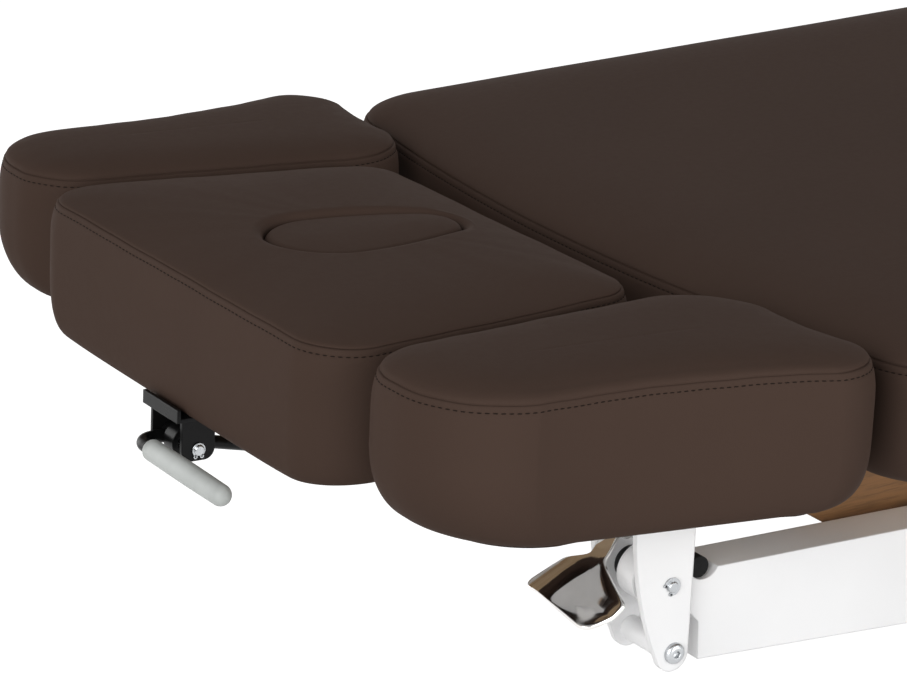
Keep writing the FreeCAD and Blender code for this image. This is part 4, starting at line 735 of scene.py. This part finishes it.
# lower roll, straight wall, upper roll as quarter circles, then a top that falls off as a parabola
def plugRings():
    outline = eggOutline(plug["gap"], plug["points"])
    roll, underRoll, floor = plug["roll"], plug["underRoll"], -plug["deep"]
    top = headrest["crown"] - plug["sag"]
    rows = [level(inset(outline, gap), floor) for gap in np.linspace(0.045, underRoll + 0.002, 6)]
    for turn in np.linspace(0, math.pi / 2, 6):
        rows.append(level(inset(outline, underRoll * (1 - math.sin(turn))),
                          floor + underRoll * (1 - math.cos(turn))))
    edge = top - plug["fall"] - roll
    rows += [level(outline, height) for height in np.linspace(floor + plug["wallLow"], edge - 0.002, 5)]
    for turn in np.linspace(0, math.pi / 2, 9):
        rows.append(level(inset(outline, roll * (1 - math.cos(turn))), edge + roll * math.sin(turn)))
    for t in np.linspace(0.12, 0.96, 9):
        drawn = roll + (egg["width"] / 2 - roll) * t
        rows.append(level(inset(outline, drawn), top - plug["fall"] * (1 - t) ** 2))
    return np.stack(rows)


addCushion("facePlug", "face_plug", "plug", plugRings(), None, ontoHead)

# armrests: the right one is drawn, the left one is its mirror image
armrest = {"headX": -0.275, "innerHead": 0.231, "innerBack": 0.192, "outerHead": 0.354,
           "outerBack": 0.402, "backX": 0.042, "backBow": 0.03175, "outerBow": -0.011,
           "backEdgeBow": -0.004, "thick": 0.11, "crown": 0.012, "reach": 0.06, "shoulder": 0.75,
           "underTuck": 0.022, "headTuck": 0.012, "outerTuck": 0.012, "boardTuck": 0.02,
           "headLift": 0.006, "backLift": 0.008, "belly": 0.003, "backLow": 0.3, "headInner": 0.05,
           "headOuter": 0.078, "backOuter": 0.04, "backInner": 0.065, "points": 420, "voxel": 0.0055}


def armrestCorners():
    def backEdge(y):
        return armrest["backX"] + armrest["backBow"] * (y / main["halfWidth"]) ** 2
    return [
        (armrest["headX"], -armrest["innerHead"], armrest["headInner"], 0),
        (armrest["headX"], -armrest["outerHead"], armrest["headOuter"], armrest["outerBow"]),
        (backEdge(armrest["outerBack"]) + armrest["backEdgeBow"], -armrest["outerBack"],
         armrest["backOuter"], armrest["backEdgeBow"]),
        (backEdge(armrest["innerBack"]), -armrest["innerBack"], armrest["backInner"], 0),
    ]


armrestOutline = roundedOutline(armrestCorners(), armrest["points"])
rings, away, sewn = swollen("armrestCushion", lambda slack: padRings(armrestOutline, armrest, slack),
                            armrest)
mirrored = rings[:, ::-1] * np.array([1, -1, 1])
for side, shape, seed in (("right", rings, 3.0), ("left", mirrored, 4.0)):
    addCushion(side + "ArmrestCushion", side + "_armrest_cushion", side + "_armrest",
               waver(shape, away, seed), sewn, ontoHead)
print("cushions done")


# Turned fittings along Y: rows of (distance along Y, radius), and a 6 where the circle is drawn in to a
# hexagon: radius * cos(30) / cos(angle from the middle of its side).
def turned(at, profile, count=48):
    theta = roundAngles(count)
    hexagon = math.cos(math.pi / 6) / np.cos(np.mod(theta, math.pi / 3) - math.pi / 6)
    rows = []
    for along, radius, *sides in profile:
        reach = radius * (hexagon if sides else 1.0)
        rows.append(np.stack([at[0] + reach * np.cos(theta), np.full(count, at[1] + along),
                              at[2] + reach * np.sin(theta)], -1))
    return np.stack(rows)


# a flat ring with a gap in it: a square section carried round an arc
def openRing(at, span, inner, outer, gapAt, gapWide, count=40):
    theta = gapAt + np.linspace(gapWide / 2, 2 * math.pi - gapWide / 2, count)
    corners = [(inner, span[0]), (outer, span[0]), (outer, span[1]), (inner, span[1])]
    rows = [[at[0] + r * np.cos(theta), np.full(count, at[1] + y), at[2] + r * np.sin(theta)]
            for r, y in corners]
    return np.array(rows).transpose(2, 0, 1)


def headMeshes(shapes, sign=1):
    return [ringMesh("shape", ontoHead(rings * np.array([1, sign, 1]))) for rings in shapes]


def addFitting(name, node, body, finish, meshes, sharp=math.radians(38)):
    piece = addPiece(name, joinMeshes(name, meshes, sharp), body, finish)
    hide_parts(node)


# a piece of the right armrest's fork, and its mirror image on the left one
def addForkPair(name, node, body, finish, build):
    for side, sign in (("right", 1), ("left", -1)):
        addFitting(side + name, side + node, side + body, finish, build(sign))


# pin with chamfered ends
def pinShape(at, low, high, radius):
    bevel = 0.0007
    return turned(at, [(low, radius - bevel), (low + bevel, radius), (high - bevel, radius),
                       (high, radius - bevel)])


# a pin through two plates, with an open clip outside each; tip draws both ends of a clip
def clippedPin(at, face, form, tip):
    far, near = face + form["over"], face + form["clipOff"]
    gapAt, gapWide, reach = form["gapAt"], form["gapWide"], form["tipAt"]
    shapes = [pinShape(at, -far, far, form["radius"])]
    for side in (-1, 1):
        span = (side * near, side * (near + form["clipThick"]))
        shapes.append(openRing(at, span, form["clipIn"], form["clipOut"], gapAt, gapWide))
        for end in (-1, 1):
            turn = gapAt + end * (gapWide / 2 + form["tipTurn"])
            spot = (at[0] + reach * math.cos(turn), at[1], at[2] + reach * math.sin(turn))
            shapes.append(tip(spot, span))
    return shapes


# fork bolt: button head with a hexagon socket at the outside, hexagon nut at the inside
fork = {"y": -0.275, "inner": 0.024, "outer": 0.029, "shaftX": -0.0625, "shaftZ": -0.1435}
bolt = {"x": -0.0432, "z": -0.2271, "radius": 0.004, "head": 0.0079, "rim": 0.0012, "dome": 0.0032,
        "flat": 0.0042, "socket": 0.0028, "socketDeep": 0.0027, "socketLip": 0.0003, "nut": 0.0076,
        "nutHigh": 0.0044, "nutBevel": 0.0007, "stub": 0.0018, "stubBevel": 0.0008}


# dome: y = rim + dome * sin(t), radius = flat + (head - flat) * cos(t), t from 0 to 90 degrees
def boltShape():
    radius, head, nut, socket = (bolt[key] for key in ("radius", "head", "nut", "socket"))
    out = fork["outer"]
    far = out + bolt["nutHigh"]
    rows = [(far + bolt["stub"], radius - bolt["stubBevel"]),
            (far + bolt["stub"] - bolt["stubBevel"], radius), (far, radius), (far, nut * 0.8),
            (far - bolt["nutBevel"], nut, 6), (out, nut, 6), (out, radius), (-out, radius),
            (-out, head), (-out - bolt["rim"], head)]
    for t in np.linspace(0.15, 1, 9) * math.pi / 2:
        rows.append((-out - bolt["rim"] - bolt["dome"] * math.sin(t),
                     bolt["flat"] + (head - bolt["flat"]) * math.cos(t)))
    top = -out - bolt["rim"] - bolt["dome"]
    bottom = top + bolt["socketDeep"]
    rows += [(top, socket * 1.1, 6), (top + bolt["socketLip"], socket, 6), (bottom, socket, 6),
             (bottom + 0.0006, 0.0008)]
    return turned((bolt["x"], fork["y"], bolt["z"]), rows, 60)


addForkPair("ForkBolt", "_fork_bolt", "_armrest", "zinc", lambda sign: headMeshes([boltShape()], sign))

# tilt pin, whose clips end in prongs, and the paddle's shaft
pins = {"tiltX": -0.0488, "tiltZ": -0.1758, "radius": 0.004, "over": 0.0034, "clipIn": 0.0037,
        "clipOut": 0.0066, "clipOff": 0.0002, "clipThick": 0.0013, "gapAt": math.radians(215),
        "gapWide": math.radians(75), "tipAt": 0.006138, "tipTurn": 0.12, "prong": 0.0012}


def prong(spot, span):
    return turned(spot, [(face, pins["prong"]) for face in span], 16)


def forkPinShapes():
    tilt = clippedPin((pins["tiltX"], fork["y"], pins["tiltZ"]), fork["outer"], pins, prong)
    shaft = (fork["shaftX"], fork["y"], fork["shaftZ"])
    return tilt + [pinShape(shaft, -fork["inner"], fork["outer"], pins["radius"])]


addForkPair("ForkPins", "_fork_pins", "_armrest", "zinc", lambda sign: headMeshes(forkPinShapes(), sign))

# release paddle: one bent sheet, from a dished blade through a neck to the hub
paddle = {"front": (-0.1262, -0.1884), "back": (-0.0812, -0.169), "hubRadius": 0.0075,
          "hubBevel": 0.0006, "bore": 0.0041, "near": -0.3102, "far": -0.2338,
          "neckNear": -0.2675, "neckFar": -0.2515, "corner": 0.0095, "thick": 0.003, "edge": 0.0011,
          "sunk": 0.0015, "roll": 0.01, "spoon": 0.009, "valley": -0.28, "hollow": 0.36, "curl": 0.004,
          "shoulder": 0.017}


# side view: straight blade, then a parabola from a quarter before its back edge up to the hub;
# z += (roll * s - spoon * (1 - ((s - valley) / hollow)^2) - curl * ((s - 0.2) / 0.3)^2) * fade, where s
# runs from -0.5 to 0.5 across the blade, spoon grows from the front edge on, and both brackets stop at 0
def paddleMesh(sign):
    front, back = np.array(paddle["front"]), np.array(paddle["back"])
    top = np.array([fork["shaftX"] - paddle["hubRadius"] + paddle["sunk"], fork["shaftZ"]])
    bend = back + (front - back) * 0.26
    t = np.linspace(0, 1, 18)[1:, None]
    straight = front + (bend - front) * np.linspace(0, 1, 34)[:, None] ** 1.35
    path = np.concatenate([straight, (1 - t) ** 2 * bend + 2 * t * (1 - t) * back + t ** 2 * top])
    run = np.concatenate([[0], np.cumsum(np.linalg.norm(np.diff(path, axis=0), axis=1))])
    bladeLong = np.linalg.norm(back - front)
    corner = paddle["corner"]
    cornerIn = corner - np.sqrt(corner ** 2 - np.clip(corner - run, 0, corner) ** 2)
    q = np.clip((run - bladeLong + paddle["shoulder"] * 0.8) / paddle["shoulder"], 0, 1)
    narrow = q * q * (3 - 2 * q)
    near = paddle["near"] + cornerIn + (paddle["neckNear"] - paddle["near"]) * narrow
    far = paddle["far"] - cornerIn + (paddle["neckFar"] - paddle["far"]) * narrow
    across = np.linspace(0, 1, 25)
    y = near[:, None] + (far - near)[:, None] * across
    s = (y - (paddle["near"] + paddle["far"]) / 2) / (paddle["far"] - paddle["near"])
    fade = (1 - np.clip((run - bladeLong * 0.55) / (bladeLong * 0.6), 0, 1))[:, None]
    deep = np.clip(1 - ((s - paddle["valley"]) / paddle["hollow"]) ** 2, 0, 1)
    curl = paddle["curl"] * np.clip((s - 0.2) / 0.3, 0, 1) ** 2
    spoon = paddle["spoon"] * np.sin(math.pi / 2 * np.clip(run / (bladeLong * 0.7), 0, 1))[:, None]
    z = path[:, 1:] + (paddle["roll"] * s - spoon * deep - curl) * fade
    grid = ontoHead(np.stack([np.broadcast_to(path[:, :1], y.shape), y * sign, z], -1))
    n = np.arange(y.size).reshape(y.shape)
    quads = np.stack([n[:-1, :-1], n[:-1, 1:], n[1:, 1:], n[1:, :-1]], -1).reshape(-1, 4)
    sheet = newMesh("sheet", grid.reshape(-1, 3), quads.tolist())
    return thickened(sheet, paddle["thick"], paddle["edge"])


# a sheet given its thickness, with rounded edges
def thickened(sheet, thick, rounded):
    blank = addObject("blank", sheet)
    solid = blank.modifiers.new("solid", "SOLIDIFY")
    solid.thickness = thick
    solid.offset = 0
    edge = blank.modifiers.new("edge", "BEVEL")
    edge.width = rounded
    edge.segments = 3
    edge.limit_method = "ANGLE"
    edge.angle_limit = math.radians(50)
    bpy.context.view_layer.update()
    made = bpy.data.meshes.new_from_object(blank.evaluated_get(bpy.context.evaluated_depsgraph_get()))
    dropObject(blank)
    return made


def paddleMeshes(sign):
    at = (fork["shaftX"], 0, fork["shaftZ"])
    low, high = paddle["neckNear"], paddle["neckFar"]
    bore, radius, bevel = paddle["bore"], paddle["hubRadius"], paddle["hubBevel"]
    hub = turned(at, [(low, bore), (low, radius - bevel), (low + bevel, radius),
                      (high - bevel, radius), (high, radius - bevel), (high, bore)])
    return [paddleMesh(sign), ringMesh("hub", ontoHead(hub * np.array([1, sign, 1])), True)]


addForkPair("ArmrestPaddle", "_armrest_paddle", "_paddle", "stainless", paddleMeshes)

# bracket pin, whose clips end in eyes
bracketPin = {"x": -0.273, "z": -0.132, "cheek": 0.024, "over": 0.003, "radius": 0.004, "clipIn": 0.0037,
              "clipOut": 0.0053, "clipOff": 0.0002, "clipThick": 0.0012, "gapAt": math.radians(-90),
              "gapWide": math.radians(56), "tipAt": 0.0056, "tipTurn": 0.0, "eyeIn": 0.0007,
              "eyeOut": 0.0016, "eyeGap": 0.002}


def eye(spot, span):
    return openRing(spot, span, bracketPin["eyeIn"], bracketPin["eyeOut"], 0, bracketPin["eyeGap"], 20)


addFitting("bracketPin", "bracket_pin", "headrest", "zinc", headMeshes(
    clippedPin((bracketPin["x"], 0, bracketPin["z"]), bracketPin["cheek"], bracketPin, eye)))

# grip: a sleeve with a softened mouth and a round end, r = radius * cos(t) along radius * sin(t)
grip = {"x": -0.3035, "z": -0.132, "start": -0.009, "end": -0.121, "radius": 0.0081, "bore": 0.0052,
        "mouth": 0.0022, "swell": 0.0003}


def gripShape():
    start, end, radius, mouth = grip["start"], grip["end"], grip["radius"], grip["mouth"]
    straight = np.linspace(start - mouth, end + radius, 14)
    rows = [(start, grip["bore"]), (start, radius - mouth)]
    for t in np.linspace(0.25, 1, 5) * math.pi / 2:
        rows.append((start - mouth * (1 - math.cos(t)), radius - mouth * (1 - math.sin(t))))
    middle = np.sin(np.linspace(0, math.pi, len(straight)))
    rows += [(y, radius + grip["swell"] * bulge) for y, bulge in zip(straight, middle)]
    for t in np.linspace(0.1, 0.97, 12) * math.pi / 2:
        rows.append((end + radius * (1 - math.sin(t)), radius * math.cos(t)))
    return turned((grip["x"], 0, grip["z"]), rows, 40)


addFitting("leverGrip", "lever_grip", "lever", "grey_grip", headMeshes([gripShape()]), math.radians(70))
print("fittings done")

# The photograph's camera: direction and distance found from the cushions' outlines.
shot = {"azimuth": math.radians(32.06), "elevation": math.radians(19.62), "distance": 2.881,
        "aim": (-0.626, 0.0, 0.73), "right": 0.04834, "up": 0.08313, "focalPixels": 3816.0,
        "framePixels": 907, "sensor": 36.0}


def addCamera():
    a, e = shot["azimuth"], shot["elevation"]
    toward = Vector((math.sin(a) * math.cos(e), math.cos(a) * math.cos(e), -math.sin(e)))
    right = Vector((math.cos(a), -math.sin(a), 0))
    up = right.cross(toward)
    camera = addObject("camera", bpy.data.cameras.new("camera"))
    place = Vector(shot["aim"]) - toward * shot["distance"] - right * shot["right"] - up * shot["up"]
    camera.matrix_world = Matrix.Translation(place) @ Matrix((right, up, -toward)).transposed().to_4x4()
    camera.data.sensor_width = shot["sensor"]
    camera.data.lens = shot["focalPixels"] * shot["sensor"] / shot["framePixels"]
    camera.data.clip_end = 100
    scene.camera = camera


addCamera()

# Studio: large soft lamps, and a pale floor that stays white to the camera, bounces light up and lets a
# view from below through.
lamps = {
    "key": {"at": (-3.6, -2.3, 1.9), "size": 2.6, "watts": 112},
    "fill": {"at": (1.0, -4.0, 1.3), "size": 2.6, "watts": 78},
    "overhead": {"at": (0.4, 0.6, 3.6), "size": 3.4, "watts": 4},
    "back": {"at": (-2.4, 3.4, 1.3), "size": 2.4, "watts": 48},
}
studio = {"aim": Vector((-0.3, 0, 0.6)), "surround": 0.25, "floorGlow": 0.85, "floorPale": 0.55,
          "floorHalf": 14.0, "floorZ": -0.0004}


def addLamp(name, settings):
    lamp = addObject(name, bpy.data.lights.new(name, "AREA"))
    lamp.data.size = settings["size"]
    lamp.data.energy = settings["watts"]
    lamp.location = settings["at"]
    lamp.rotation_euler = (studio["aim"] - Vector(settings["at"])).to_track_quat("-Z", "Y").to_euler()


# 1 where a ray comes from the camera, or by way of metal or glass, and 0 where it carries light
def seenDirectly(tree):
    path = tree.nodes.new("ShaderNodeLightPath")
    total = path.outputs["Is Camera Ray"]
    for name in ("Is Glossy Ray", "Is Transmission Ray"):
        either = tree.nodes.new("ShaderNodeMath")
        either.operation = "MAXIMUM"
        tree.links.new(total, either.inputs[0])
        tree.links.new(path.outputs[name], either.inputs[1])
        total = either.outputs["Value"]
    return total


def addStudio():
    for name, settings in lamps.items():
        addLamp(name, settings)
    world = bpy.data.worlds.new("studio")
    world.use_nodes = True
    scene.world = world
    tree = world.node_tree
    strength = tree.nodes.new("ShaderNodeMapRange")
    tree.links.new(seenDirectly(tree), strength.inputs["Value"])
    strength.inputs["To Min"].default_value = studio["surround"]
    tree.nodes["Background"].inputs["Color"].default_value = (1, 1, 1, 1)
    tree.links.new(strength.outputs["Result"], tree.nodes["Background"].inputs["Strength"])
    half, low = studio["floorHalf"], studio["floorZ"]
    corners = [(-half, -half, low), (half, -half, low), (half, half, low), (-half, half, low)]
    mesh = newMesh("floor", np.array(corners), [(0, 1, 2, 3)])
    floor = addObject("floor", mesh)
    f = Finish("floor")
    glow = f.node("Emission", Color=(1, 1, 1, 1))
    shine = f.node("MapRange", Value=seenDirectly(f.tree))
    f.feed(shine.inputs["To Max"], studio["floorGlow"])
    f.feed(glow.inputs["Strength"], shine.outputs["Result"])
    both = f.node("AddShader")
    pale = (studio["floorPale"],) * 3 + (1,)
    f.set(Base_Color=pale, Roughness=0.9, Specular_IOR_Level=0.0)
    f.feed(both.inputs[0], f.shader.outputs["BSDF"])
    f.feed(both.inputs[1], glow.outputs["Emission"])
    sides = f.node("MixShader", Fac=f.node("NewGeometry").outputs["Backfacing"])
    f.feed(sides.inputs[1], both.outputs["Shader"])
    f.feed(sides.inputs[2], f.node("BsdfTransparent").outputs["BSDF"])
    f.feed(f.tree.nodes["Material Output"].inputs["Surface"], sides.outputs["Shader"])
    mesh.materials.append(f.material)


addStudio()
scene.view_settings.view_transform = "Standard"
print("camera, lamps and floor set")
